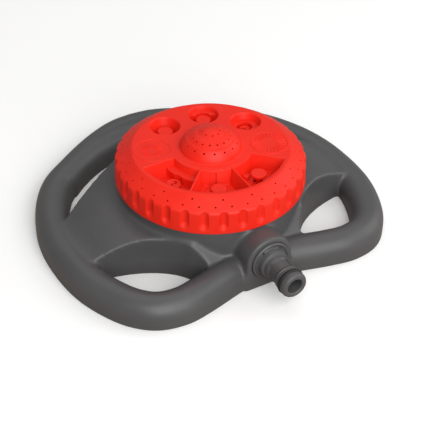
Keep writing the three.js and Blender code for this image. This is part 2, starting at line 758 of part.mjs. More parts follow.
// Round nozzle with three swirl holes.
function swirlNozzle(floor) {
  const disc = joined([cylinder(swirlRadius, floor + gap, floor + 2.4, 18), nozzlePlug(floor)]);
  const hole = moved(cylinder(0.9, floor - 4, floor + 3, 8), 1.7, 0);
  return cut(disc, angles(3, 0.4).map((angle) => spun(hole, angle)));
}

// Low nozzle block with a slot across its top and a jet hole.
function slotNozzle(floor) {
  const block = joined([cylinder(4.4, floor + gap, floor + 2.6, 18), nozzlePlug(floor)]);
  return cut(block, [box(-6, 6, -0.7, 0.7, floor + 1.5, floor + 4), cylinder(1.3, floor - 4, floor + 4, 12)]);
}

function portPlate() {
  const top = plateBottom + plateThickness;
  const disc = joined([
    cylinder(dialRadius - dialWall - gap - 0.2, plateBottom, top, 48),
    cylinder(pivotRadius, pivotBottom, plateBottom + 1, 24),
    cylinder(pivotRadius + 3, valveTop + gap, plateBottom + 1, 24),
  ]);
  const ports = sectorAngles.map((angle) => onCircle(
    cylinder(portRadius, plateBottom - 1, top + 1, 12), nozzleCircle, angle));
  const dimples = sectorAngles.map((angle) => onCircle(
    cylinder(plungerRadius + 1.2, plateBottom - 1, plateBottom + 1.5, 8, 0.9), detentCircle, angle));
  const hollow = cylinder(screwShank + gap, pivotBottom - 1, pivotBottom + 13, 12);
  return cut(disc, [...ports, ...dimples, hollow]);
}

// ---------------------------------------------------------------- the whole sprinkler

const model = new THREE.Group();
const base = new THREE.Group();
const dial = new THREE.Group();
model.add(base, dial);

function add(parent, name, shape, material) {
  const geometry = shape.isBufferGeometry ? shape : toGeometry(shape);
  const mesh = new THREE.Mesh(geometry, material.clone());
  mesh.name = name;
  parent.add(mesh);
  return mesh;
}

function buildBase() {
  add(base, 'base_shell', baseShell(), greyPlastic);
  add(base, 'valve_body', valveBody(), blackPlastic);
  add(base, 'bottom_cover', bottomCover(), blackPlastic);
  add(base, 'inlet_spigot', inletSpigot(), greyPlastic);
  add(base, 'hose_o_ring', inletRing(ringRadius, ringSection, hoseGroove), rubber);
  const sealCircle = socketRadius - gap / 2 - sealSection;
  add(base, 'inlet_o_ring', inletRing(sealCircle, sealSection, inletGroove), rubber);

  const port = pointOn(nozzleCircle, portAngle);
  const sealFoot = plateBottom - gap - sealLength;
  const portSpring = spring(sealSpring, springSeat + gap, sealFoot - gap);
  add(base, 'port_spring', portSpring, steel).position.set(port.x, port.y, 0);
  add(base, 'port_seal', portSeal(), rubber).position.set(port.x, port.y, 0);

  const detent = pointOn(detentCircle, detentAngle);
  const pinFoot = plateBottom - gap - plungerLength;
  const detentSpring = spring(pinSpring, plungerWell + gap, pinFoot - gap);
  add(base, 'detent_spring', detentSpring, steel).position.set(detent.x, detent.y, 0);
  add(base, 'detent_plunger', detentPlunger(), steel).position.set(detent.x, detent.y, 0);

  const coverScrew = screw(screwRadius, screwHeadRadius, coverHeadHeight, 11);
  const valveScrew = screw(screwRadius, screwHeadRadius, valveHeadHeight, 10);
  postAngles.forEach((angle, k) => {
    const low = pointOn(coverScrewCircle, angle);
    add(base, `cover_screw_${k + 1}`, coverScrew, steel).position.set(low.x, low.y, gap / 2);
    const high = pointOn(valveScrewCircle, angle);
    const mesh = add(base, `valve_screw_${k + 1}`, valveScrew, steel);
    mesh.position.set(high.x, high.y, valveTop + gap + valveHeadHeight);
    mesh.rotation.x = Math.PI;
  });
}

function buildDial() {
  add(dial, 'dial_cover', dialCover(), redPlastic);
  add(dial, 'port_plate', portPlate(), redPlastic);
  const washerTop = pivotBottom - gap;
  const washer = tubeRing(screwShank + gap, pivotRadius + 2.6, washerTop - washerThickness, washerTop, 24);
  add(dial, 'pivot_washer', washer, steel);
  const pivot = screw(screwShank, pivotHead.radius, pivotHead.height, 15);
  add(dial, 'pivot_screw', pivot, steel).position.z = washerTop - washerThickness - gap - pivotHead.height;

  const craterButton = button(craterFloor, deckHeight - craterButtonDrop - buttonThickness);
  const squareButton = button(windowFloor, deckHeight - squareButtonDrop - buttonThickness);
  const flatFanButton = button(windowFloor, deckHeight - flatFanButtonDrop - buttonThickness);
  const inserts = [
    ['jet_button', craterButton, craterAngles[0]],
    ['half_fan_button', craterButton, craterAngles[1]],
    ['swirl_nozzle', swirlNozzle(craterFloor), craterAngles[2]],
    ['slot_nozzle', slotNozzle(windowFloor), windowAngles[0]],
    ['square_button', squareButton, windowAngles[1]],
    ['flat_fan_button', flatFanButton, windowAngles[2]],
  ];
  for (const [name, shape, angle] of inserts) {
    const insert = add(dial, name, shape, redPlastic);
    const at = pointOn(nozzleCircle, angle);
    insert.position.set(at.x, at.y, 0);
    insert.rotation.z = angle;
  }
}

buildBase();
buildDial();

export default model;
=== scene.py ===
# %% [markdown]
# # A dial sprinkler for the lawn
# The object is a garden sprinkler. A red dial with eight spray patterns turns on a grey base, whose ring
# is both foot and handle, and a hose clicks onto the nipple in front. Every length below is in metres.
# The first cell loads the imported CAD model, which fixes each piece's place, and keeps its box for later.

# %% Load the frame
import math

import bmesh
import bpy
from mathutils import Matrix, Vector
from mathutils.geometry import interpolate_bezier


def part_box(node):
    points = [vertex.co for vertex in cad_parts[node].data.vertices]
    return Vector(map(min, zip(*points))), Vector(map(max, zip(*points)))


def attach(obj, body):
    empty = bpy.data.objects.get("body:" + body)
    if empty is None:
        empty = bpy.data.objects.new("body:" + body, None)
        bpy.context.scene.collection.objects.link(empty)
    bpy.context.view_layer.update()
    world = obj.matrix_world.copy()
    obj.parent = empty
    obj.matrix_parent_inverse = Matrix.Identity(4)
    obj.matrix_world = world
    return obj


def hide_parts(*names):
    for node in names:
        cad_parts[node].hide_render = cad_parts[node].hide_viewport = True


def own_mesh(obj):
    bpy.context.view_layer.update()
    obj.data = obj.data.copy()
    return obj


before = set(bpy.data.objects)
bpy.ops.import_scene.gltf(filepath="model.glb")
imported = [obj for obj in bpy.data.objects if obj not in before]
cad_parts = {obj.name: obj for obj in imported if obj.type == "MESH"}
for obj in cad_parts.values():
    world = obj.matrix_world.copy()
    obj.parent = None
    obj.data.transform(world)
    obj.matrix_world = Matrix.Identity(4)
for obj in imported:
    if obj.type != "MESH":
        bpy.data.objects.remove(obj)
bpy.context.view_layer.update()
mm = 0.001

# %% [markdown]
# The driving sizes come from the CAD nodes' own boxes, so the looks follow the design if it changes.
# The smaller sizes are the drawing's, given from those edges.

# %% Sizes taken from the frame
cover_low, cover_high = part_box("dial_cover")
spigot_low, spigot_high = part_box("inlet_spigot")
shell_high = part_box("base_shell")[1]
plate_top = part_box("port_plate")[1].z


def middle(node):
    """Centre of a CAD node's box."""
    low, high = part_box(node)
    return (low + high) / 2


dial_radius = cover_high.x
dial_bottom = cover_low.z
rose_height = 12.4 * mm
deck_height = cover_high.z - rose_height
band_width = 10.3 * mm
deck_radius = dial_radius - band_width
skirt_top = deck_height - 6.4 * mm
window_floor = deck_height - 9.2 * mm
crater_floor = deck_height - 8.2 * mm
rose_radius = 18.9 * mm
nozzle_bore = 2.95 * mm
nozzle_plug = 2.65 * mm
nozzle_circle = Vector((*middle("square_button").xy, 0)).length
hub_radius = dial_radius - 1.9 * mm
hub_height = dial_bottom - 0.6 * mm
rail_half_width = 10.2 * mm
rail_height = 16.5 * mm
ring_half_width = shell_high.x - rail_half_width
ring_back = shell_high.y - rail_half_width
inlet_height = (spigot_low.z + spigot_high.z) / 2
spigot_tip = -spigot_low.y
boss_face = spigot_tip - 26.5 * mm
print("dial radius %.1f mm, deck at %.1f mm" % (dial_radius / mm, deck_height / mm))
print("ring %.1f mm wide, nipple at %.1f mm" % (2 * shell_high.x / mm, inlet_height / mm))

# %% [markdown]
# ## Camera, floor and light
# The view is from a little above, over the front left side, with a long lens, and the floor is one pale
# sheet. A single sun would draw hard shadows on a glossy plastic. So a large soft box in front lights the
# walls that face it, one overhead gives the highlight on the ring's crest, a weak one fills the right,
# and an even world light opens the shadows.

# %% Camera
view_azimuth = math.radians(-31.16)
view_elevation = math.radians(38.41)
view_roll = math.radians(1.37)
camera_place = (-0.2846, -0.4785, 0.4435)
sensor_width = 36
focal_share = 1141.7 / 432  # focal length over the sensor's width

back = Vector((
    math.sin(view_azimuth) * math.cos(view_elevation),
    -math.cos(view_azimuth) * math.cos(view_elevation),
    math.sin(view_elevation),
))
level_right = Vector((math.cos(view_azimuth), math.sin(view_azimuth), 0))
level_up = back.cross(level_right)
camera_right = level_right * math.cos(view_roll) + level_up * math.sin(view_roll)
camera_up = back.cross(camera_right)

camera_data = bpy.data.cameras.new("studio_camera")
camera_data.sensor_width = sensor_width
camera_data.lens = sensor_width * focal_share
camera = bpy.data.objects.new("studio_camera", camera_data)
turn = Matrix((camera_right, camera_up, back)).transposed().to_4x4()
camera.matrix_world = Matrix.Translation(camera_place) @ turn
bpy.context.scene.collection.objects.link(camera)
bpy.context.scene.camera = camera
print("camera lens %.1f mm" % camera_data.lens)


# %% Floor, lights and world
def area_light(name, place, target, size, power, colour):
    """A square soft box at a place, facing a target."""
    data = bpy.data.lights.new(name, "AREA")
    data.shape = "SQUARE"
    data.size = size
    data.energy = power
    data.color = colour
    light = bpy.data.objects.new(name, data)
    aim = (Vector(target) - Vector(place)).to_track_quat("-Z", "Y")
    light.matrix_world = Matrix.Translation(place) @ aim.to_matrix().to_4x4()
    bpy.context.scene.collection.objects.link(light)


floor_half_size = 4
floor_gap = 0.3 * mm
floor_shape = bmesh.new()
bmesh.ops.create_grid(floor_shape, x_segments=1, y_segments=1, size=floor_half_size)
bmesh.ops.translate(floor_shape, vec=(0, 0, -floor_gap), verts=floor_shape.verts)
floor_mesh = bpy.data.meshes.new("floor")
floor_shape.to_mesh(floor_mesh)
floor_shape.free()
floor = bpy.data.objects.new("floor", floor_mesh)
bpy.context.scene.collection.objects.link(floor)

area_light("overhead_box", (0.3, 0.8, 1.9), (0, 0, 0), 1.8, 8, (1, 0.995, 0.98))
area_light("front_box", (-0.3, -1.55, 1.2), (0, 0, 0.03), 2.0, 45, (1, 1, 1))
area_light("side_box", (1.5, -0.4, 0.9), (0, 0, 0.03), 1.4, 10, (0.99, 0.995, 1))

world = bpy.data.worlds.new("studio")
world.use_nodes = True
world.node_tree.nodes["Background"].inputs["Color"].default_value = (1, 1, 1, 1)
world.node_tree.nodes["Background"].inputs["Strength"].default_value = 0.32
bpy.context.scene.world = world
bpy.context.scene.view_settings.view_transform = "Standard"

# %% [markdown]
# ## Shared finishes
# Moulded plastic is never one flat colour. The mould's steel is etched, which leaves a fine grain, the
# colour batch clouds a little as it flows, and handling leaves short scuffs. Each effect is one shader
# node group, so that every plastic on the sprinkler can use it with its own values.


# %% Node group helpers
def new_group(name, inputs, outputs):
    """An empty shader group with float or colour sockets, and its input and output nodes."""
    tree = bpy.data.node_groups.new(name, "ShaderNodeTree")
    for label, kind, value in inputs:
        socket = tree.interface.new_socket(name=label, in_out="INPUT", socket_type=kind)
        socket.default_value = value
    for label, kind in outputs:
        tree.interface.new_socket(name=label, in_out="OUTPUT", socket_type=kind)
    entry = tree.nodes.new("NodeGroupInput")
    leave = tree.nodes.new("NodeGroupOutput")
    return tree, entry, leave


def noise(tree, vector, scale, detail=2.0, roughness=0.5):
    """A noise texture on a vector, with its scale from a number or a socket."""
    node = tree.nodes.new("ShaderNodeTexNoise")
    node.inputs["Detail"].default_value = detail
    node.inputs["Roughness"].default_value = roughness
    tree.links.new(vector, node.inputs["Vector"])
    if isinstance(scale, (int, float)):
        node.inputs["Scale"].default_value = scale
    else:
        tree.links.new(scale, node.inputs["Scale"])
    return node.outputs["Fac"]


def ramp(tree, value, low, high, start=0.0, end=1.0):
    """Maps a value from one range to another, smoothly and within its ends."""
    node = tree.nodes.new("ShaderNodeMapRange")
    node.interpolation_type = "SMOOTHSTEP"
    node.inputs["From Min"].default_value = low
    node.inputs["From Max"].default_value = high
    node.inputs["To Min"].default_value = start
    node.inputs["To Max"].default_value = end
    tree.links.new(value, node.inputs["Value"])
    return node.outputs["Result"]


def combine(tree, operation, first, second):
    """A Math node on two values, each a socket or a number."""
    node = tree.nodes.new("ShaderNodeMath")
    node.operation = operation
    for socket, value in zip(node.inputs, (first, second)):
        if isinstance(value, (int, float)):
            socket.default_value = value
        else:
            tree.links.new(value, socket)
    return node.outputs["Value"]


# %% Group: mould grain
def make_grain_group():
    """Fine etched grain and slow clouding, both read from Object coordinates."""
    tree, entry, leave = new_group(
        "mould_grain",
        [("Grain Scale", "NodeSocketFloat", 1500.0), ("Cloud Scale", "NodeSocketFloat", 40.0)],
        [("Height", "NodeSocketFloat"), ("Clouding", "NodeSocketFloat")],
    )
    place = tree.nodes.new("ShaderNodeTexCoord").outputs["Object"]
    fine = noise(tree, place, entry.outputs["Grain Scale"], detail=3, roughness=0.6)
    cloud = noise(tree, place, entry.outputs["Cloud Scale"], detail=4, roughness=0.55)
    tree.links.new(fine, leave.inputs["Height"])
    tree.links.new(ramp(tree, cloud, 0.3, 0.7), leave.inputs["Clouding"])
    return tree


# %% Group: scuffs
def make_scuff_group():
    """Short hairline scuffs: thin crossings of a stretched noise, kept only in some patches."""
    tree, entry, leave = new_group(
        "handling_scuffs",
        [("Amount", "NodeSocketFloat", 0.5), ("Patch Scale", "NodeSocketFloat", 30.0)],
        [("Mask", "NodeSocketFloat")],
    )
    place = tree.nodes.new("ShaderNodeTexCoord").outputs["Object"]
    lines = None
    for swing, stretch in ((0.5, (900, 60, 300)), (-0.9, (70, 800, 260))):
        mapping = tree.nodes.new("ShaderNodeMapping")
        mapping.inputs["Rotation"].default_value = (0.3 * swing, 0.2, swing)
        mapping.inputs["Scale"].default_value = stretch
        tree.links.new(place, mapping.inputs["Vector"])
        streak = noise(tree, mapping.outputs["Vector"], 1.0, detail=1)
        thin = combine(tree, "ABSOLUTE", combine(tree, "SUBTRACT", streak, 0.5), 0)
        line = ramp(tree, thin, 0.0, 0.012, 1.0, 0.0)
        lines = line if lines is None else combine(tree, "MAXIMUM", lines, line)
    patch = ramp(tree, noise(tree, place, entry.outputs["Patch Scale"]), 0.58, 0.72)
    kept = combine(tree, "MULTIPLY", lines, patch)
    tree.links.new(combine(tree, "MULTIPLY", kept, entry.outputs["Amount"]), leave.inputs["Mask"])
    return tree


grain_group = make_grain_group()
scuff_group = make_scuff_group()
print("groups:", [group.name for group in bpy.data.node_groups])

# %% [markdown]
# A plastic takes its colour, gloss and grain from a few values. The clouding moves the colour between two
# close shades, and the scuffs are a little lighter and rougher than the skin around them. The grain is
# far too small to model, so it is bump.


# %% Plastics
mix_first, mix_second, mix_result = 6, 7, 2  # colour sockets of a Mix node


def new_material(name):
    """A material with nodes, its node tree and its shader."""
    material = bpy.data.materials.new(name)
    material.use_nodes = True
    return material, material.node_tree, material.node_tree.nodes["Principled BSDF"]


def add_bump(tree, shader, height, distance):
    """Bump on a shader, from a height socket."""
    bump = tree.nodes.new("ShaderNodeBump")
    bump.inputs["Strength"].default_value = 1.0
    bump.inputs["Distance"].default_value = distance
    tree.links.new(height, bump.inputs["Height"])
    tree.links.new(bump.outputs["Normal"], shader.inputs["Normal"])


def place_group(tree, group, **values):
    """A group node with some of its inputs set."""
    node = tree.nodes.new("ShaderNodeGroup")
    node.node_tree = group
    for label, value in values.items():
        node.inputs[label.replace("_", " ")].default_value = value
    return node


def blend_colours(tree, share, first, second):
    """A colour between two, each a socket or a plain colour."""
    node = tree.nodes.new("ShaderNodeMix")
    node.data_type = "RGBA"
    tree.links.new(share, node.inputs["Factor"])
    for socket, value in ((node.inputs[mix_first], first), (node.inputs[mix_second], second)):
        if isinstance(value, (tuple, list)):
            socket.default_value = (*value, 1)
        else:
            tree.links.new(value, socket)
    return node.outputs[mix_result]


def moulded(name, colour, cloud_colour, scuff_colour, gloss, shine, grain_scale, grain_depth, scuffs):
    """Injection-moulded plastic."""
    material, tree, shader = new_material(name)
    shader.inputs["Specular IOR Level"].default_value = shine
    grain = place_group(tree, grain_group, Grain_Scale=grain_scale)
    marks = place_group(tree, scuff_group, Amount=scuffs)
    clouded = blend_colours(tree, grain.outputs["Clouding"], colour, cloud_colour)
    scuffed = blend_colours(tree, marks.outputs["Mask"], clouded, scuff_colour)
    tree.links.new(scuffed, shader.inputs["Base Color"])
    rough = ramp(tree, grain.outputs["Clouding"], 0, 1, gloss - 0.04, gloss + 0.04)
    worn = combine(tree, "MULTIPLY", marks.outputs["Mask"], 0.2)
    tree.links.new(combine(tree, "ADD", rough, worn), shader.inputs["Roughness"])
    add_bump(tree, shader, grain.outputs["Height"], grain_depth)
    return material


base_grey = moulded(
    "slate_grey_moulding", (0.066, 0.066, 0.069), (0.074, 0.073, 0.075), (0.13, 0.13, 0.135),
    gloss=0.43, shine=0.5, grain_scale=1700, grain_depth=0.035 * mm, scuffs=0.35,
)
inner_black = moulded(
    "black_moulding", (0.022, 0.023, 0.025), (0.028, 0.029, 0.031), (0.07, 0.07, 0.07),
    gloss=0.5, shine=0.5, grain_scale=1400, grain_depth=0.03 * mm, scuffs=0.3,
)
dial_red = moulded(
    "bright_red_moulding", (0.78, 0.014, 0.004), (0.82, 0.019, 0.006), (0.88, 0.09, 0.05),
    gloss=0.46, shine=0.3, grain_scale=1300, grain_depth=0.012 * mm, scuffs=0.25,
)
print("plastics:", base_grey.name, inner_black.name, dial_red.name)

# %% [markdown]
# Rubber is the same kind of surface with a duller skin and a dusting of pale bloom. Steel is a metal, so
# its colour is its reflection, broken up by a fine grain in its roughness.


# %% Rubber and steel
def make_rubber():
    """Black nitrile rubber with a faint pale bloom."""
    material, tree, shader = new_material("black_rubber")
    grain = place_group(tree, grain_group, Grain_Scale=2200.0, Cloud_Scale=220.0)
    colour = blend_colours(tree, grain.outputs["Clouding"], (0.004, 0.004, 0.004), (0.009, 0.009, 0.009))
    tree.links.new(colour, shader.inputs["Base Color"])
    rough = ramp(tree, grain.outputs["Clouding"], 0, 1, 0.5, 0.66)
    tree.links.new(rough, shader.inputs["Roughness"])
    add_bump(tree, shader, grain.outputs["Height"], 0.01 * mm)
    return material


def make_steel():
    """Stainless steel with a fine grain in its roughness and a clouded colour."""
    material, tree, shader = new_material("stainless_steel")
    shader.inputs["Metallic"].default_value = 1
    grain = place_group(tree, grain_group, Grain_Scale=2600.0, Cloud_Scale=300.0)
    colour = blend_colours(tree, grain.outputs["Clouding"], (0.5, 0.51, 0.53), (0.62, 0.63, 0.64))
    tree.links.new(colour, shader.inputs["Base Color"])
    rough = ramp(tree, grain.outputs["Height"], 0.3, 0.7, 0.22, 0.4)
    tree.links.new(rough, shader.inputs["Roughness"])
    return material


black_rubber = make_rubber()
steel = make_steel()


def make_floor_paint():
    """Pale floor that reflects a darker and warmer light onto the object than the camera sees."""
    material, tree, shader = new_material("pale_floor")
    grain = place_group(tree, grain_group, Grain_Scale=400.0, Cloud_Scale=3.0)
    pale = blend_colours(tree, grain.outputs["Clouding"], (0.96, 0.955, 0.95), (0.97, 0.965, 0.96))
    seen = tree.nodes.new("ShaderNodeLightPath").outputs["Is Camera Ray"]
    tree.links.new(blend_colours(tree, seen, (0.42, 0.37, 0.32), pale), shader.inputs["Base Color"])
    shader.inputs["Roughness"].default_value = 0.9
    return material


floor.data.materials.append(make_floor_paint())
print("finishes:", len(bpy.data.materials))

# %% [markdown]
# ## Modelling helpers
# Most of this object is turned, swept or moulded from a plan view. Three helpers cover that: a profile spun
# round an axis, a section pulled along a route, and a stack of level outlines bridged into a block. A
# fourth joins or cuts solids, as a mould maker does with cores and cavities.


# %% Profiles, spins and lofts
def along_y(bm):
    """Turns a shape made round +Z so that it lies along the nipple's axis, +Z becoming -Y."""
    bmesh.ops.rotate(bm, cent=(0, 0, 0), matrix=Matrix.Rotation(math.radians(90), 3, "X"), verts=bm.verts)
    bmesh.ops.translate(bm, vec=(0, 0, inlet_height), verts=bm.verts)


def wire(points, closed=False):
    """A line through (radius, height, rounding) points, each corner rounded by its own size."""
    bm = bmesh.new()
    corners = [bm.verts.new((point[0], 0, point[1])) for point in points]
    for first, second in zip(corners, corners[1:]):
        bm.edges.new((first, second))
    if closed:
        bm.edges.new((corners[-1], corners[0]))
    for corner, point in zip(corners, points):
        if len(point) > 2 and point[2] > 0:
            bmesh.ops.bevel(
                bm, geom=[corner], offset=point[2], affect="VERTICES", segments=4, profile=0.5, material=-1,
            )
    return bm


def spun(points, steps, closed=False):
    """The closed solid that a profile makes when it is spun once round +Z."""
    bm = wire(points, closed)
    bmesh.ops.spin(
        bm, geom=bm.verts[:] + bm.edges[:], cent=(0, 0, 0), axis=(0, 0, 1),
        angle=2 * math.pi, steps=steps, use_merge=True,
    )
    bmesh.ops.remove_doubles(bm, verts=bm.verts, dist=0.002 * mm)
    bmesh.ops.recalc_face_normals(bm, faces=bm.faces)
    return bm


def add_loop(bm, points):
    """A closed loop of edges through 3-D points."""
    corners = [bm.verts.new(point) for point in points]
    return [bm.edges.new((first, second)) for first, second in zip(corners, corners[1:] + corners[:1])]


def bridged(outlines):
    """A solid through closed outlines of 3-D points, each bridged to the next, with both ends filled."""
    bm = bmesh.new()
    loops = [add_loop(bm, outline) for outline in outlines]
    for low, high in zip(loops, loops[1:]):
        bmesh.ops.bridge_loops(bm, edges=low + high)
    bmesh.ops.contextual_create(bm, geom=loops[0])
    bmesh.ops.contextual_create(bm, geom=loops[-1])
    bmesh.ops.recalc_face_normals(bm, faces=bm.faces)
    return bm


def loft(outlines):
    """A solid through level outlines, each a list of (x, y) points and a height, from the bottom up."""
    return bridged([[(x, y, height) for x, y in outline] for outline, height in outlines])


def arc(radius, start, end, steps, centre=(0, 0)):
    """Points on a circle from one angle to another, both ends included."""
    angles = [start + (end - start) * step / steps for step in range(steps + 1)]
    return [(centre[0] + radius * math.cos(at), centre[1] + radius * math.sin(at)) for at in angles]


def circle(radius, steps, centre=(0, 0)):
    """Points all round a circle."""
    return arc(radius, 0, 2 * math.pi, steps, centre)[:-1]


# %% Sweeps along a route
def smooth_route(points, steps=8):
    """Points of a smooth curve through a list of points: a centripetal Catmull-Rom spline."""
    points = [Vector(point) for point in points]
    ends = [2 * points[0] - points[1], *points, 2 * points[-1] - points[-2]]
    route = []
    for before, start, end, after in zip(ends, ends[1:], ends[2:], ends[3:]):
        a, b, c = [(q - p).length ** 0.5 for p, q in ((before, start), (start, end), (end, after))]
        leave = (a * a * end - b * b * before + (2 * a * a + 3 * a * b + b * b) * start) / (3 * a * (a + b))
        arrive = (c * c * start - b * b * after + (2 * c * c + 3 * c * b + b * b) * end) / (3 * c * (c + b))
        route += interpolate_bezier(start, leave, arrive, end, steps + 1)[:-1]
    return route + [points[-1]]


def swept(section, route):
    """A solid with one (across, up) section all along a level route."""
    frames = []
    for index, point in enumerate(route):
        ahead = route[min(index + 1, len(route) - 1)] - route[max(index - 1, 0)]
        ahead.normalize()
        across = Vector((-ahead.y, ahead.x, 0))
        turn = Matrix((across, ahead, Vector((0, 0, 1)))).transposed().to_4x4()
        frames.append(Matrix.Translation(point) @ turn)
    bm = bmesh.new()
    loop = add_loop(bm, [(across, 0, up) for across, up in section])
    first = loop
    bmesh.ops.transform(bm, matrix=frames[0], verts=bm.verts)
    for before, after in zip(frames, frames[1:]):
        grown = bmesh.ops.extrude_edge_only(bm, edges=loop)["geom"]
        corners = {item for item in grown if isinstance(item, bmesh.types.BMVert)}
        loop = [item for item in grown if isinstance(item, bmesh.types.BMEdge) and set(item.verts) <= corners]
        bmesh.ops.transform(bm, matrix=after @ before.inverted(), verts=list(corners))
    bmesh.ops.contextual_create(bm, geom=first)
    bmesh.ops.contextual_create(bm, geom=loop)
    bmesh.ops.recalc_face_normals(bm, faces=bm.faces)
    return bm


# %% Objects, joins and cuts
def as_object(name, bm):
    """An object at the origin that holds a bmesh's shape."""
    mesh = bpy.data.meshes.new(name)
    bm.to_mesh(mesh)
    bm.free()
    piece = bpy.data.objects.new(name, mesh)
    bpy.context.scene.collection.objects.link(piece)
    return piece


def bake(piece):
    """Makes a piece's modifiers part of its mesh."""
    graph = bpy.context.evaluated_depsgraph_get()
    old = piece.data
    piece.data = bpy.data.meshes.new_from_object(piece.evaluated_get(graph))
    piece.modifiers.clear()
    bpy.data.meshes.remove(old)


def combine_solids(piece, operation, tools):
    """Joins solids to a piece, cuts them out of it, or keeps what it shares with them, one by one."""
    for tool in tools:
        helper = as_object("tool", tool)
        modifier = piece.modifiers.new("solid", "BOOLEAN")
        modifier.solver = "MANIFOLD"
        modifier.operation = operation
        modifier.object = helper
        bake(piece)
        shape = helper.data
        bpy.data.objects.remove(helper)
        bpy.data.meshes.remove(shape)


def carved(shape, operation, tools):
    """A bmesh after joins or cuts, for a core or a part that needs them before it is used."""
    piece = as_object("part", shape)
    combine_solids(piece, operation, tools)
    bm = bmesh.new()
    bm.from_mesh(piece.data)
    bpy.data.objects.remove(piece)
    return bm


def moved(bm, x=0.0, y=0.0, z=0.0):
    """Moves a bmesh and returns it."""
    bmesh.ops.translate(bm, vec=(x, y, z), verts=bm.verts)
    return bm


def turned(bm, angle, axis="Z"):
    """Turns a bmesh about an axis through the origin and returns it."""
    bmesh.ops.rotate(bm, cent=(0, 0, 0), matrix=Matrix.Rotation(angle, 3, axis), verts=bm.verts)
    return bm


def mirrored(bm):
    """A bmesh turned into its mirror image across the middle, with its faces still outwards."""
    bmesh.ops.scale(bm, vec=(-1, 1, 1), verts=bm.verts)
    bmesh.ops.reverse_faces(bm, faces=bm.faces)
    return bm


def pooled(shapes):
    """Several separate shapes in one bmesh."""
    whole = bmesh.new()
    for shape in shapes:
        mesh = bpy.data.meshes.new("part")
        shape.to_mesh(mesh)
        shape.free()
        whole.from_mesh(mesh)
        bpy.data.meshes.remove(mesh)
    return whole


def finish_piece(piece, body, material, crease=30):
    """Gives a piece its finish and smooth shading, and lets it ride on its body."""
    piece.data.materials.clear()
    piece.data.materials.append(material)
    for face in piece.data.polygons:
        face.use_smooth = True
    piece.data.set_sharp_from_angle(angle=math.radians(crease))
    normals = piece.modifiers.new("flat_faces_stay_flat", "WEIGHTED_NORMAL")
    normals.keep_sharp = True
    normals.weight = 80
    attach(piece, body)
    corners = sum(len(face.vertices) - 2 for face in piece.data.polygons)
    print("%s: %d triangles" % (piece.name, corners))


# %% [markdown]
# ## Base shell
# The base is one moulding: a round-topped ring to carry it by, two wings that fall away from the hub, and
# a block in front that holds the nipple. It could be sculpted, but each part has a plain rule, so each is
# a swept, lofted or spun solid, and they are joined. A fine remesh and a few smoothing strokes then melt
# the joints into the soft corners that a mould has, and the hose bore is cut last, so that it stays crisp.
# The CAD shell's ribs, screw posts and skirt are left out of this one, since they only show from below.


# %% Base: ring
def rail_section(inset, bottom):
    """Straight flanks from the ground and a half circle on top, as (across, up) points."""
    half = rail_half_width - inset
    springing = rail_height - rail_half_width
    return [(half, bottom), *arc(half, 0, math.pi, 16, (0, springing)), (-half, bottom)]


def rail_route():
    """Right half of the ring's centreline, from the block in front to past the middle of the back.

    It is drawn 95.5 wide, 66.2 deep in front and 103.6 deep behind, and scaled to the frame's sizes.
    """
    wide = ring_half_width / 95.5
    front = (hub_radius + 10.6 * mm) / 66.2
    rear = ring_back / 103.6
    points = [
        (6 * wide, -54.5 * front), (26 * wide, -59.6 * front), (44 * wide, -64.2 * front),
        (57 * wide, -66.2 * front), (70 * wide, -63.6 * front), (79.8 * wide, -55.4 * front),
        (88 * wide, -41 * front), (93.5 * wide, -24 * front), (95.5 * wide, -3 * mm),
        (94 * wide, 20 * rear), (87.5 * wide, 42 * rear), (74 * wide, 64.5 * rear),
        (55.5 * wide, 79 * rear), (33 * wide, 93.4 * rear), (14 * wide, 101.8 * rear), (-1 * mm, ring_back),
    ]
    return smooth_route([(x, y, 0) for x, y in points])


def grip_route():
    """Centreline of the grip that thickens the back of the ring on its inside."""
    half_angle, inset, flare = 0.8, 7.6 * mm, 1.2 * mm
    points = []
    for step in range(-6, 7):
        share = step / 6
        angle = math.pi / 2 + half_angle * share
        reach = ring_back - inset + flare * share ** 4
        points.append((reach * math.cos(angle), reach * math.sin(angle), 0))
    return smooth_route(points)


def rails(inset, bottom):
    """The ring's right and left halves, as two solids."""
    right, left = [swept(rail_section(inset, bottom), rail_route()) for _ in range(2)]
    return right, mirrored(left)


print("ring route:", len(rail_route()), "points")


# %% Base: wings, block and boss
neck_root = Vector((0.694 * hub_radius, -0.788 * hub_radius, 0))
neck_half_width = 31.6 * mm
boss_half_width = 15 * mm
wing_top = 26.4 * mm
wing_end = 14.8 * mm
foot = -3 * mm
below = -5 * mm


def wing_outline(inset):
    """Plan of both wings and the body round the hub, as (x, y) points."""
    end = ring_half_width - inset * 0.5
    back_corner = 18.6 * mm - inset
    shoulder = Vector((0.61 * hub_radius, hub_radius + 0.8 * mm - inset, 0))
    crown = Vector((0, hub_radius + 10.4 * mm - inset, 0))
    bulge = Vector((shoulder.x / 2, crown.y, 0))
    root = Vector((neck_root.x - inset, neck_root.y, 0))
    corner = Vector((end, -18.4 * mm + inset, 0))
    front = interpolate_bezier(
        root, root + Vector((5.5 * mm, 11.3 * mm + inset, 0)),
        corner + Vector((-32 * mm, -1 * mm, 0)), corner, 24,
    )
    rear = interpolate_bezier(shoulder, shoulder.lerp(bulge, 2 / 3), crown.lerp(bulge, 2 / 3), crown, 14)
    right = [(point.x, point.y) for point in [*front, Vector((end, back_corner, 0)), *rear]]
    return right + [(-x, y) for x, y in reversed(right[:-1])]


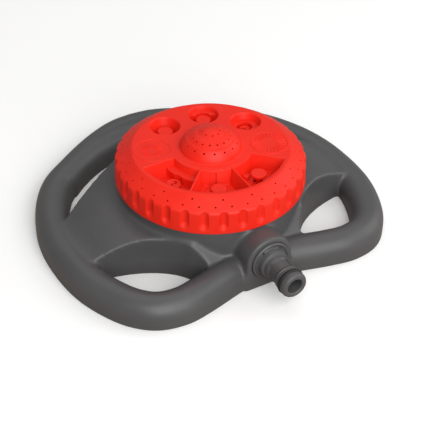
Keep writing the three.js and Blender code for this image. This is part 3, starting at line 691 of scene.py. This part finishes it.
def wing_slope(drop):
    """Spun solid whose top falls from the hub to the ring."""
    high = wing_top - drop
    low = wing_end - drop
    rise = high - low
    edge = ring_half_width + 6 * mm
    fall = smooth_route([
        (edge, 0, low - 1 * mm), (ring_half_width - 6 * mm, 0, low + 0.12 * rise),
        (hub_radius + 20.4 * mm, 0, low + 0.62 * rise), (hub_radius + 10.4 * mm, 0, low + 0.9 * rise),
        (hub_radius, 0, high),
    ], 5)
    return spun([(0, -6 * mm), (edge, -6 * mm), *[(p.x, p.z) for p in fall], (0, high)], 96)


def wings(inset, bottom):
    """Both wings as one solid."""
    plan = loft([(wing_outline(inset), bottom), (wing_outline(inset), hub_height)])
    return carved(plan, "INTERSECT", [wing_slope(inset)])


def across_x(points, half):
    """A block with a (y, z) side view, from one side to the other."""
    return bridged([[(x, y, z) for y, z in points] for x in (-half, half)])


def neck(inset, bottom):
    """Body between the two front hand-holds, which narrows round the hub as it falls to the ring."""
    high = wing_top - inset
    front = hub_radius + 6.6 * mm - inset
    low = rail_height - inset
    back = -0.54 * hub_radius
    slope = across_x([
        (back, bottom), (back, high), (neck_root.y, high - 0.2 * mm),
        (2.2 * mm - hub_radius, low - 1.5 * mm), (-front, low - 2.9 * mm), (-front, bottom),
    ], neck_root.x)
    half = neck_half_width - inset
    right = [
        (neck_root.x - inset, back), (neck_root.x - inset, neck_root.y),
        (half + 2.9 * mm, neck_root.y - 4.6 * mm), (half + 0.7 * mm, neck_root.y - 8 * mm),
        (half, neck_root.y - 11 * mm), (half, -ring_back),
    ]
    plan = loft([(right + [(-x, y) for x, y in reversed(right)], z) for z in (bottom, hub_height)])
    return carved(slope, "INTERSECT", [plan])


def boss():
    """Arched block that the nipple screws into."""
    half = boss_half_width
    arch = [(half, foot), *arc(half, 0, math.pi, 24, (0, inlet_height)), (-half, foot)]
    return bridged([[(x, -y, z) for x, z in arch] for y in (hub_radius - 10.6 * mm, boss_face)])


# %% Base: join, melt and bore
def rod(radius, start, end, steps=48):
    """A plain rod round +Z."""
    return spun([(0, start), (radius, start), (radius, end), (0, end)], steps)


wall = 2.4 * mm
cover_radius = hub_radius - 6.6 * mm

right_rail, left_rail = rails(0, foot)
shell = as_object("base_moulding", right_rail)
combine_solids(shell, "UNION", [
    left_rail,
    swept(rail_section(0, foot), grip_route()),
    wings(0, foot),
    spun([(0, foot), (hub_radius + 0.6 * mm, foot), (hub_radius, hub_height), (0, hub_height)], 192),
    neck(0, foot),
    boss(),
])
combine_solids(shell, "DIFFERENCE", [
    *rails(wall, below),
    wings(wall, below),
    neck(wall, below),
    rod(cover_radius + 0.3 * mm, below, hub_height - 0.4 * mm, 96),
    rod(hub_radius - wall, hub_height - 3.2 * mm, hub_height + 1 * mm, 96),
])
print("base joined:", len(shell.data.polygons), "faces")

# %% [markdown]
# The remesh gives every joint the same small even faces, whatever solids met there, and smoothing strokes
# then round them as one skin. Flat faces come through unchanged, so only the corners turn soft. The shell
# was made a little too deep, so that the ground can cut it off with a clean edge afterwards. The bore and
# the collar's seat are cut after it too, because they have to keep their edges.

# %% Base: melt the joints and bore the inlet
melt_size = 1.1 * mm
melt_strokes = 2


def melted(piece, size, strokes):
    """Remeshes a piece evenly and smooths it, so that its corners turn round."""
    modifier = piece.modifiers.new("even_faces", "REMESH")
    modifier.mode = "VOXEL"
    modifier.voxel_size = size
    bake(piece)
    bm = bmesh.new()
    bm.from_mesh(piece.data)
    for _ in range(strokes):
        bmesh.ops.smooth_vert(
            bm, verts=bm.verts, factor=0.5, use_axis_x=True, use_axis_y=True, use_axis_z=True,
        )
    bm.to_mesh(piece.data)
    bm.free()


melted(shell, melt_size, melt_strokes)
print("base melted:", len(shell.data.polygons), "faces")
plug_radius = 9.6 * mm
collar_radius = 12.2 * mm
gap = 0.3 * mm
bore_tools = [
    rod(plug_radius + gap, 30 * mm, boss_face + 2 * mm),
    rod(collar_radius + gap, boss_face - 3 * mm, boss_face + 2 * mm),
]
for tool in bore_tools:
    along_y(tool)
combine_solids(shell, "DIFFERENCE", [*bore_tools, rod(2 * ring_half_width, 2 * below, 0)])
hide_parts("base_shell")
finish_piece(shell, "base", base_grey, crease=50)

# %% [markdown]
# ## Dial cover
# The cover is a moulded cap: fluted skirt to grip, a sloping band with two rows of jets, a flat deck, and
# a rose in the middle. It is spun from one profile. The flutes are pressed into that fine skin by moving
# its points, because a cutter would leave knife edges where a thumb goes. Everything sunk into the deck is
# cut with a core, and each core flares at its mouth, so the cut leaves the rounded lip of a real moulding.


# %% Dial: profile
def stepped(start, end, count):
    """Points at even steps from one (radius, height) point to just before another."""
    start, end = Vector(start), Vector(end)
    return [tuple(start.lerp(end, step / count)) for step in range(count)]


def curve(points, steps=5):
    """A smooth line through (radius, height) points."""
    return [(p.x, p.z) for p in smooth_route([(r, 0, z) for r, z in points], steps)]


def rose_outline():
    """Outside of the rose, from its foot to its top, with a ring line at each change of slope."""
    zones = [
        [(1.0, 0.0), (0.96, 0.17), (0.87, 0.385), (0.757, 0.56)],
        [(0.712, 0.572), (0.6, 0.695), (0.46, 0.79)],
        [(0.42, 0.797), (0.23, 0.925), (0.0, 0.975)],
    ]
    outline = []
    for zone in zones:
        outline += curve([(r * rose_radius, deck_height + z * rose_height) for r, z in zone], 4)
    return outline


def cover_profile():
    """Section of the cover from the inside of the skirt, over the outside, to the chamber's roof."""
    rim = dial_radius
    skin = 2.2 * mm
    edge = deck_radius + 0.8 * mm
    ceiling = deck_height - skin
    outside = [
        (rim - skin, dial_bottom), (rim - 0.6 * mm, dial_bottom), (rim - 0.15 * mm, dial_bottom + 0.15 * mm),
        *stepped((rim, dial_bottom + 0.6 * mm), (rim - 0.45 * mm, skirt_top - 0.8 * mm), 24),
        (rim - 0.5 * mm, skirt_top - 0.7 * mm), (rim - 0.8 * mm, skirt_top - 0.15 * mm),
        *stepped((rim - 1.3 * mm, skirt_top + 0.35 * mm), (edge, deck_height - 0.52 * mm), 18),
        (deck_radius + 0.4 * mm, deck_height - 0.26 * mm), (deck_radius, deck_height - 0.07 * mm),
        (deck_radius - 0.45 * mm, deck_height), (rose_radius + 1.4 * mm, deck_height),
        (rose_radius + 0.5 * mm, deck_height + 0.12 * mm),
        *rose_outline()[1:],
    ]
    inside = [
        (0, cover_high.z - skin), (0.44 * rose_radius - 1 * mm, deck_height + 0.6 * rose_height),
        (0.73 * rose_radius - skin, deck_height + 0.4 * rose_height), (rose_radius - 1.9 * mm, ceiling),
        (rose_radius - 1.9 * mm, window_floor - 2 * mm), (deck_radius - 0.6 * mm, window_floor - 2 * mm),
        (deck_radius + 0.2 * mm, ceiling - 0.4 * mm), (rim - skin, skirt_top - 1.2 * mm),
    ]
    return outside + inside


steps_per_flute = 24
flute_count = 32
cover_shape = spun(cover_profile(), steps_per_flute * flute_count, closed=True)
print("cover blank:", len(cover_shape.faces), "faces")

# %% [markdown]
# A flute is the dent that a round bar would leave: its depth under the skin follows from the bar's radius
# and how far the point is from the bar's line. The maximum of that depth and nothing is softened, so the
# land between two flutes rolls over into them. Above the skirt the band slopes away from the bar, and that
# alone gives each flute its arched top. Near the rim the bar leans outwards, so the flute runs out.

# %% Dial: flutes
flute_radius = 2.95 * mm
flute_depth = 1.9 * mm
flute_bottom = dial_bottom + 5.6 * mm
flute_top = skirt_top + 1.2 * mm
flute_lean = 0.55
roll_over = 0.17 * mm


def flute_dent(reach, along, height):
    """Depth of a flute under a point of the skin, from the point's radius, place along the rim and height."""
    above = max(0.0, height - flute_top)
    run_out = max(0.0, flute_bottom - height) * flute_lean
    aside = math.sqrt(along ** 2 + above ** 2)
    bar = dial_radius + flute_radius - flute_depth + run_out
    if aside < flute_radius:
        dent = reach - bar + math.sqrt(flute_radius ** 2 - aside ** 2)
    else:
        dent = reach - bar - (aside - flute_radius)
    return (dent + math.sqrt(dent ** 2 + roll_over ** 2)) / 2 if dent > -4 * roll_over else 0.0


def on_grip(reach, height):
    """Whether a point of the cover is on the outside of its skirt or band."""
    inside_skirt = reach < dial_radius - 2.1 * mm and height < skirt_top
    return reach > deck_radius and height < deck_height - 1.5 * mm and not inside_skirt


pitch = 2 * math.pi / flute_count
for corner in cover_shape.verts:
    reach = corner.co.xy.length
    if on_grip(reach, corner.co.z):
        angle = math.atan2(corner.co.y, corner.co.x)
        along = (angle - round(angle / pitch) * pitch) * reach
        dent = flute_dent(reach, along, corner.co.z)
        corner.co.xy *= 1 - dent / reach
cover = as_object("fluted_dial_cover", cover_shape)
print("flutes:", flute_count, "each", round(2 * flute_radius / mm, 1), "mm wide")

# %% [markdown]
# The cores are lofted or spun from below: the floor, then a drafted wall, then the flared mouth above the
# deck. Three windows share two thin webs, and three craters sit across the dial from them.

# %% Dial: windows and craters
sector = math.pi / 4
window_angles = [-3.5 * sector, -2.5 * sector, -1.5 * sector]
crater_angles = [2.5 * sector, 1.5 * sector, 0.5 * sector]
window_inner = rose_radius + 5.3 * mm
window_outer = deck_radius - 2.2 * mm
lip = 0.45 * mm


def sector_outline(angle, inner, outer, ribs):
    """Plan of a ring's sector that stays a distance from the middle of the web on each side."""
    sides = []
    for radius in (inner, outer):
        start = angle - sector / 2 + math.asin(ribs[0] / radius)
        end = angle + sector / 2 - math.asin(ribs[1] / radius)
        sides.append(arc(radius, start, end, 24))
    return sides[0] + sides[1][::-1]


def window_core(number):
    """Core of one window, with drafted walls, a rounded floor and a flared mouth."""
    floor_inner = window_inner + 3 * mm
    floor_outer = window_outer - 4 * mm
    thinner = 0.9 * mm  # no neighbour shares the outer walls of the end windows
    wider = (thinner if number == 0 else 0, thinner if number == 2 else 0)
    layers = [
        (floor_inner + 0.5 * mm, floor_outer - 0.5 * mm, 3.4 * mm, window_floor),
        (floor_inner + 0.1 * mm, floor_outer - 0.1 * mm, 3 * mm, window_floor + 0.2 * mm),
        (floor_inner - 0.2 * mm, floor_outer + 0.3 * mm, 2.85 * mm, window_floor + 0.6 * mm),
        (window_inner + lip, window_outer - lip, 0.62 * mm, deck_height - lip),
        (window_inner + 0.75 * lip, window_outer - 0.75 * lip, 0.52 * mm, deck_height - 0.5 * lip),
        (window_inner, window_outer, 0.3 * mm, deck_height + 0.01 * mm),
        (window_inner, window_outer, 0.3 * mm, deck_height + 1 * mm),
    ]
    outlines = []
    for inner, outer, rib, height in layers:
        ribs = (rib - wider[0], rib - wider[1])
        outlines.append((sector_outline(window_angles[number], inner, outer, ribs), height))
    return loft(outlines)


def at_nozzle(bm, angle):
    """Moves a shape made round +Z onto the nozzle circle, at an angle of the dial."""
    return turned(moved(bm, x=nozzle_circle), angle)


def crater_core(angle):
    """Core of one crater: a cone with a rounded floor and a flared mouth."""
    top = 9.6 * mm
    bottom = 6.2 * mm
    core = spun([
        (0, crater_floor), (bottom, crater_floor, 0.5 * mm), (top - lip, deck_height - lip, 0.2 * mm),
        (top + 0.1 * mm, deck_height + 0.01 * mm), (top + 0.1 * mm, deck_height + 1 * mm),
        (0, deck_height + 1 * mm),
    ], 72)
    return at_nozzle(core, angle)


combine_solids(cover, "DIFFERENCE", [
    pooled([window_core(number) for number in range(3)]),
    pooled([crater_core(angle) for angle in crater_angles]),
])
print("cover with windows and craters:", len(cover.data.polygons), "faces")

# %% [markdown]
# Inside the recesses, steps and posts shape the jets: a curved step in the left window, a half-moon step in
# the middle crater, a flat one round the swirl nozzle, and two small posts. Each could be a piece of its
# own, but on the real dial they come out of the same mould, so they are joined to the cover. A shallow
# channel runs down the inner wall of the middle window.


# %% Dial: steps and posts
def step_block(outline, bottom, top):
    """A level block with slightly rounded upper edges."""
    bm = loft([(outline, bottom), (outline, top)])
    rim = [edge for edge in bm.edges if all(corner.co.z > top - 0.01 * mm for corner in edge.verts)]
    bmesh.ops.bevel(
        bm, geom=rim, offset=0.25 * mm, affect="EDGES", segments=2, profile=0.5, material=-1,
    )
    bmesh.ops.recalc_face_normals(bm, faces=bm.faces)
    return bm


def rectangle(x, y):
    """A rectangle between (low, high) pairs, as (x, y) points."""
    return [(x[0], y[0]), (x[1], y[0]), (x[1], y[1]), (x[0], y[1])]


def arch_step():
    """Curved step along the inner side of the left window, hollowed round the nozzle."""
    outline = sector_outline(window_angles[0], window_inner - 0.5 * mm, window_inner + 6.5 * mm, (0, 0))
    clear = at_nozzle(rod(5.3 * mm, crater_floor - 3 * mm, deck_height, 64), window_angles[0])
    return carved(step_block(outline, window_floor - 0.5 * mm, deck_height - 4.2 * mm), "DIFFERENCE", [clear])


def half_moon_step():
    """Half-moon step on the outer side of the middle crater."""
    outline = [(x, y) for x, y in circle(8.3 * mm, 96) if x > 2.5 * mm]
    clear = rod(5.05 * mm, crater_floor - 1 * mm, deck_height, 64)
    step = step_block(outline, crater_floor - 0.5 * mm, deck_height - 2.3 * mm)
    return at_nozzle(carved(step, "DIFFERENCE", [clear]), crater_angles[1])


def swirl_step():
    """Flat step in the right crater, with a round opening over the swirl nozzle."""
    step = step_block(circle(8.5 * mm, 96), crater_floor - 0.5 * mm, deck_height - 4 * mm)
    opening = moved(rod(4.6 * mm, crater_floor - 2 * mm, deck_height, 64), x=-1.6 * mm)
    clear = rod(4.2 * mm, crater_floor - 2 * mm, deck_height, 64)
    return at_nozzle(carved(step, "DIFFERENCE", [opening, clear]), crater_angles[2])


def post(x, y, radius, height):
    """Small post on a window's floor."""
    bm = spun([(0, window_floor - 0.5 * mm), (radius, window_floor - 0.5 * mm),
               (radius - 0.1 * mm, window_floor + height, 0.3 * mm), (0, window_floor + height)], 40)
    return moved(bm, x=x, y=y)


def wall_channel():
    """Shallow channel down the inner wall of the middle window."""
    outlines = []
    for reach, height in ((window_inner + 1.5 * mm, window_floor + 0.1 * mm),
                          (window_inner - 0.6 * mm, deck_height - 1.3 * mm)):
        outlines.append((rectangle((reach, reach + 5 * mm), (-2.1 * mm, 2.1 * mm)), height))
    return turned(loft(outlines), math.radians(-117))


combine_solids(cover, "UNION", [
    arch_step(), half_moon_step(), swirl_step(),
    pooled([post(8.4 * mm, -27 * mm, 2.2 * mm, 2.6 * mm), post(-18.5 * mm, -29.4 * mm, 1.3 * mm, 2.2 * mm)]),
])
combine_solids(cover, "DIFFERENCE", [
    wall_channel(),
    pooled([
        at_nozzle(rod(nozzle_bore, plate_top, window_floor + 2 * mm, 40), angle)
        for angle in window_angles + crater_angles
    ]),
])
print("cover with steps:", len(cover.data.polygons), "faces")

# %% [markdown]
# Two sectors feed the jets of the band and of the rose, and have no nozzle of their own. The deck shows
# their spray as a plain sunburst and a plain star, in a raised circle. A bump pattern would fade in a
# glancing light, so the rays are real, 0.3 mm proud.


# %% Dial: raised spray patterns
def ray(start, end, narrow, wide):
    """One raised ray along +X, wider at its end, with a soft crest."""
    outline = [(start, -narrow), (end, -wide), (end + 0.3 * wide, 0), (end, wide), (start, narrow)]
    crest = [(x + 0.1 * mm if x == start else x - 0.1 * mm, y * 0.6) for x, y in outline]
    return loft([(outline, deck_height - 0.3 * mm), (outline, deck_height), (crest, deck_height + 0.32 * mm)])


def raised_circle(radius):
    """Thin raised circle round a pattern."""
    return spun([
        (radius - 0.3 * mm, deck_height - 0.3 * mm), (radius - 0.3 * mm, deck_height + 0.02 * mm),
        (radius, deck_height + 0.3 * mm, 0.1 * mm), (radius + 0.3 * mm, deck_height + 0.02 * mm),
        (radius + 0.3 * mm, deck_height - 0.3 * mm),
    ], 96, closed=True)


def spray_pattern(angle, count, start, end, narrow, wide):
    """A circle of rays inside a raised circle, on the deck at an angle."""
    shapes = [turned(ray(start, end, narrow, wide), 2 * math.pi * step / count) for step in range(count)]
    return at_nozzle(pooled([*shapes, raised_circle(11.2 * mm)]), angle)


combine_solids(cover, "UNION", [
    spray_pattern(-0.5 * sector, 24, 5.4 * mm, 10.2 * mm, 0.25 * mm, 0.62 * mm),
    spray_pattern(3.5 * sector, 18, 3.4 * mm, 6.4 * mm, 0.22 * mm, 0.42 * mm),
])
print("cover with patterns:", len(cover.data.polygons), "faces")


# %% Dial: jets
def jet(radius, length):
    """A small jet hole's core with a slight mouth, standing across the skin at the origin."""
    return spun([
        (0, -length), (radius, -length), (radius, -0.1 * mm), (radius + 0.12 * mm, 0.1 * mm),
        (radius + 0.2 * mm, 1 * mm), (0, 1 * mm),
    ], 12)


def jet_row(count, length, tilt, reach, height, shift=0.0, phase=0.0):
    """Cores of one even row of jets, turned by a share of their pitch and by an angle."""
    cores = []
    for number in range(count):
        core = turned(jet(0.55 * mm, length), tilt, "Y")
        moved(core, x=reach, z=height)
        cores.append(turned(core, 2 * math.pi * (number + shift) / count + phase))
    return cores


def band_jets():
    """Two rows of jets through the sloping band."""
    run = band_width - 0.5 * mm
    drop = deck_height - skirt_top
    slope = math.atan2(drop, run)
    cores = []
    for count, share, phase in ((36, 0.65, 2.8), (18, 0.275, 7.8)):
        reach = deck_radius + share * run
        height = deck_height - share * drop
        cores += jet_row(count, 3.2 * mm, slope, reach, height, phase=math.radians(phase))
    return pooled(cores)


def rose_jets():
    """Three rows of jets through the rose."""
    cores = []
    rows = [(16, 0.835, 0.435, 0, 54), (16, 0.6, 0.695, 0.5, 35), (8, 0.275, 0.9, 0.5, 16)]
    for count, out, rise, shift, tilt in rows:
        height = deck_height + rise * rose_height
        cores += jet_row(count, 3.4 * mm, math.radians(tilt), out * rose_radius, height, shift)
    return pooled(cores)


combine_solids(cover, "DIFFERENCE", [band_jets(), rose_jets()])
print("cover with jets:", len(cover.data.polygons), "faces")
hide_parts("dial_cover")
finish_piece(cover, "dial", dial_red, crease=35)

# %% [markdown]
# ## Nozzles in the recesses
# Four recesses hold a mushroom-shaped button: the jet hits the underside of its cap and leaves as a fan, a
# half fan or a square. Three fins press its stem into the bore. The other two hold low nozzles with curved
# slots. They are turned shapes, so a spun profile makes each, and the slots are cut with swept-out cores.


# %% Buttons
def block(x, y, z):
    """A plain block between (low, high) pairs."""
    return loft([(rectangle(x, y), z[0]), (rectangle(x, y), z[1])])


def button(node):
    """Cap, stem and three fins, between the heights of a CAD node."""
    low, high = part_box(node)
    cap = high.z - 2.4 * mm
    rim = 4.75 * mm
    shape = spun([
        (0, cap), (rim - 0.7 * mm, cap),
        (rim, cap + 0.5 * mm, 0.25 * mm), (rim, high.z - 0.35 * mm, 0.3 * mm),
        (rim - 0.75 * mm, high.z - 0.02 * mm, 0.4 * mm), (0, high.z),
    ], 72)
    fins = []
    for step in range(3):
        fin = block((0, nozzle_plug), (-0.5 * mm, 0.5 * mm), (low.z, low.z + 2.6 * mm))
        fins.append(turned(fin, 2 * math.pi * step / 3))
    return carved(shape, "UNION", [rod(1.5 * mm, low.z, cap + 0.5 * mm, 40), *fins])


def place_insert(node, shape, angle):
    """Puts an insert into its recess as the piece that stands for a CAD node."""
    piece = as_object(node.replace("_", "_moulded_", 1), at_nozzle(shape, angle))
    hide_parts(node)
    finish_piece(piece, "dial", dial_red, crease=40)


for node, angle in (
    ("jet_button", crater_angles[0]), ("half_fan_button", crater_angles[1]),
    ("square_button", window_angles[1]), ("flat_fan_button", window_angles[2]),
):
    place_insert(node, button(node), angle)


# %% Nozzles with curved slots
def hook_core(bend, half_width, floor, top):
    """Core of a hooked slot: most of a turn round a point beside the middle."""
    sweep = (math.radians(-100), math.radians(130), 20)
    outline = arc(bend + half_width, *sweep) + arc(bend - half_width, *sweep)[::-1]
    return moved(loft([(outline, floor), (outline, top)]), y=bend)


def slotted_nozzle(node, rim, tilt):
    """Low nozzle with a plug in the bore, a raised edge and two hooked slots that meet in the middle."""
    low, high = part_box(node)
    seat = low.z + 3.3 * mm
    shape = spun([
        (0, low.z), (nozzle_plug, low.z), (nozzle_plug, seat), (rim - 0.3 * mm, seat, 0.1 * mm),
        (rim, seat + 0.4 * mm, 0.15 * mm), (rim, high.z - 0.3 * mm, 0.2 * mm),
        (rim - 0.4 * mm, high.z, 0.2 * mm), (rim - 0.9 * mm, high.z - 0.5 * mm, 0.15 * mm),
        (0, high.z - 0.5 * mm),
    ], 72)
    hooks = []
    for side in (0, math.pi):
        hooks.append(turned(hook_core(1.3 * mm, 0.42 * mm, low.z + 1 * mm, high.z + 1 * mm), side))
    return turned(carved(shape, "DIFFERENCE", hooks), tilt)


place_insert("swirl_nozzle", slotted_nozzle("swirl_nozzle", 3.9 * mm, 0.6), crater_angles[2])
place_insert("slot_nozzle", slotted_nozzle("slot_nozzle", 4.4 * mm, 2.2), window_angles[0])

# %% [markdown]
# ## Hose nipple
# The nipple is a turned shape: a collar that closes the boss, a stepped neck for the claws of a hose
# connector, a groove with a black O-ring, and a rounded tip with the bore. It is spun round +Z, with the
# distance from the dial's axis as its height, and then laid along the inlet. Four lugs stand on the collar's
# step and four low ribs on the neck. The ring is a spun circle, 0.3 mm clear of its groove's floor.

# %% Nipple
groove = spigot_tip - 5.3 * mm
ring_middle = 7.05 * mm
ring_half = 1.35 * mm


def nipple_profile():
    """Half section of the nipple, from its inner end to its tip and back along the bore."""
    bore = 4.65 * mm
    inner = cover_radius - 5 * mm
    shoulder = boss_face - 2.7 * mm
    outside = [
        (bore, inner), (6.95 * mm, inner), (6.95 * mm, inner + 1.2 * mm), (5.5 * mm, inner + 1.2 * mm),
        (5.5 * mm, inner + 3.6 * mm), (6.95 * mm, inner + 3.6 * mm), (6.95 * mm, cover_radius + 3.2 * mm),
        (plug_radius, cover_radius + 3.2 * mm), (plug_radius, shoulder), (collar_radius, shoulder),
    ]
    face = boss_face
    outside += [
        (collar_radius, face + 0.9 * mm, 0.3 * mm), (11.4 * mm, face + 1.6 * mm, 0.2 * mm),
        (10.9 * mm, face + 1.5 * mm, 0.2 * mm), (9.9 * mm, face + 0.7 * mm, 0.4 * mm),
        (9.2 * mm, face + 1.9 * mm, 0.3 * mm), (8.75 * mm, face + 4.8 * mm, 0.35 * mm),
        (7.5 * mm, face + 5.3 * mm, 0.4 * mm), (7.3 * mm, face + 8 * mm, 0.8 * mm),
        (6.6 * mm, face + 9.2 * mm, 0.8 * mm), (6.6 * mm, groove - 5.4 * mm, 0.6 * mm),
        (7.5 * mm, groove - 4.7 * mm, 0.3 * mm), (7.7 * mm, groove - 3.8 * mm, 0.25 * mm),
        (7.15 * mm, groove - 3.4 * mm, 0.15 * mm), (7.15 * mm, groove - 2.9 * mm, 0.15 * mm),
        (7.9 * mm, groove - 2.5 * mm, 0.25 * mm), (7.9 * mm, groove - 1.5 * mm, 0.1 * mm),
        (5.4 * mm, groove - 1.5 * mm), (5.4 * mm, groove + 1.5 * mm),
    ]
    tip = spigot_tip
    return outside + [
        (8.05 * mm, groove + 1.5 * mm, 0.15 * mm), (8.05 * mm, tip - 1.5 * mm, 0.9 * mm),
        (7.1 * mm, tip - 0.15 * mm, 0.5 * mm), (5.3 * mm, tip, 0.3 * mm),
        (bore, tip - 0.7 * mm, 0.25 * mm),
    ]


def keys(angles, reach, half_width, along):
    """Small blocks that stand out round the nipple, at angles in degrees."""
    return [turned(block(reach, (-half_width, half_width), along), math.radians(at)) for at in angles]


nipple_shape = carved(spun(nipple_profile(), 96, closed=True), "UNION", [
    *keys(
        (55, 125, 235, 305), (8.6 * mm, 9.9 * mm), 0.7 * mm,
        (boss_face + 0.8 * mm, boss_face + 2.4 * mm),
    ),
    *keys((45, 135, 225, 315), (6 * mm, 7.15 * mm), 0.55 * mm, (boss_face + 8 * mm, groove - 5 * mm)),
])
along_y(nipple_shape)
nipple = as_object("hose_nipple", nipple_shape)
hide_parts("inlet_spigot")
finish_piece(nipple, "base", base_grey, crease=35)

ring_shape = spun(circle(ring_half, 24, (ring_middle, groove)), 96, closed=True)
along_y(ring_shape)
hose_ring = as_object("hose_seal_ring", ring_shape)
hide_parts("hose_o_ring")
finish_piece(hose_ring, "base", black_rubber, crease=60)

# %% [markdown]
# ## Port spring
# The spring under the port seal gets shorter when the dial presses the seal down. A circle spun with a step
# along the axis makes the helix, and the spring gets a mesh of its own.


# %% Coil spring
def coil(node, half_wire, turns):
    """A coil of round wire that fills the box of a CAD node, with closed ends."""
    low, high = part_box(node)
    reach = (high.x - low.x) / 2 - half_wire
    bm = bmesh.new()
    add_loop(bm, [(x, 0, z) for x, z in circle(half_wire, 10, (reach, low.z + half_wire))])
    steps = turns * 40
    bmesh.ops.spin(
        bm, geom=bm.verts[:] + bm.edges[:], cent=(0, 0, 0), axis=(0, 0, 1),
        dvec=(0, 0, (high.z - low.z - 2 * half_wire) / steps), angle=2 * math.pi * turns, steps=steps,
    )
    bmesh.ops.holes_fill(bm, edges=[edge for edge in bm.edges if edge.is_boundary])
    bmesh.ops.recalc_face_normals(bm, faces=bm.faces)
    centre = middle(node)
    return moved(bm, x=centre.x, y=centre.y)


seal_coil = as_object("seal_coil_spring", coil("port_spring", 0.5 * mm, 4))
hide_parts("port_spring")
finish_piece(seal_coil, "base", steel, crease=60)
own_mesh(seal_coil)

# %% [markdown]
# ## Inner parts
# The valve body, the covers, the springs, the seals and the screws are hidden in use, and their CAD shapes
# are already right. Each keeps its solid and gets the finish of its real material.

# %% Finishes for the inner parts
inner_finishes = {
    inner_black: ["valve_body", "bottom_cover"],
    dial_red: ["port_plate"],
    black_rubber: ["port_seal", "inlet_o_ring"],
}
replaced = {
    "base_shell", "dial_cover", "inlet_spigot", "hose_o_ring", "jet_button", "half_fan_button",
    "square_button", "flat_fan_button", "swirl_nozzle", "slot_nozzle", "port_spring",
}
steel_nodes = set(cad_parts) - replaced - {name for names in inner_finishes.values() for name in names}
inner_finishes[steel] = sorted(steel_nodes)
for finish, names in inner_finishes.items():
    for name in names:
        for slot in bpy.data.objects[name].material_slots:
            slot.material = finish
    print(finish.name, "on", names)
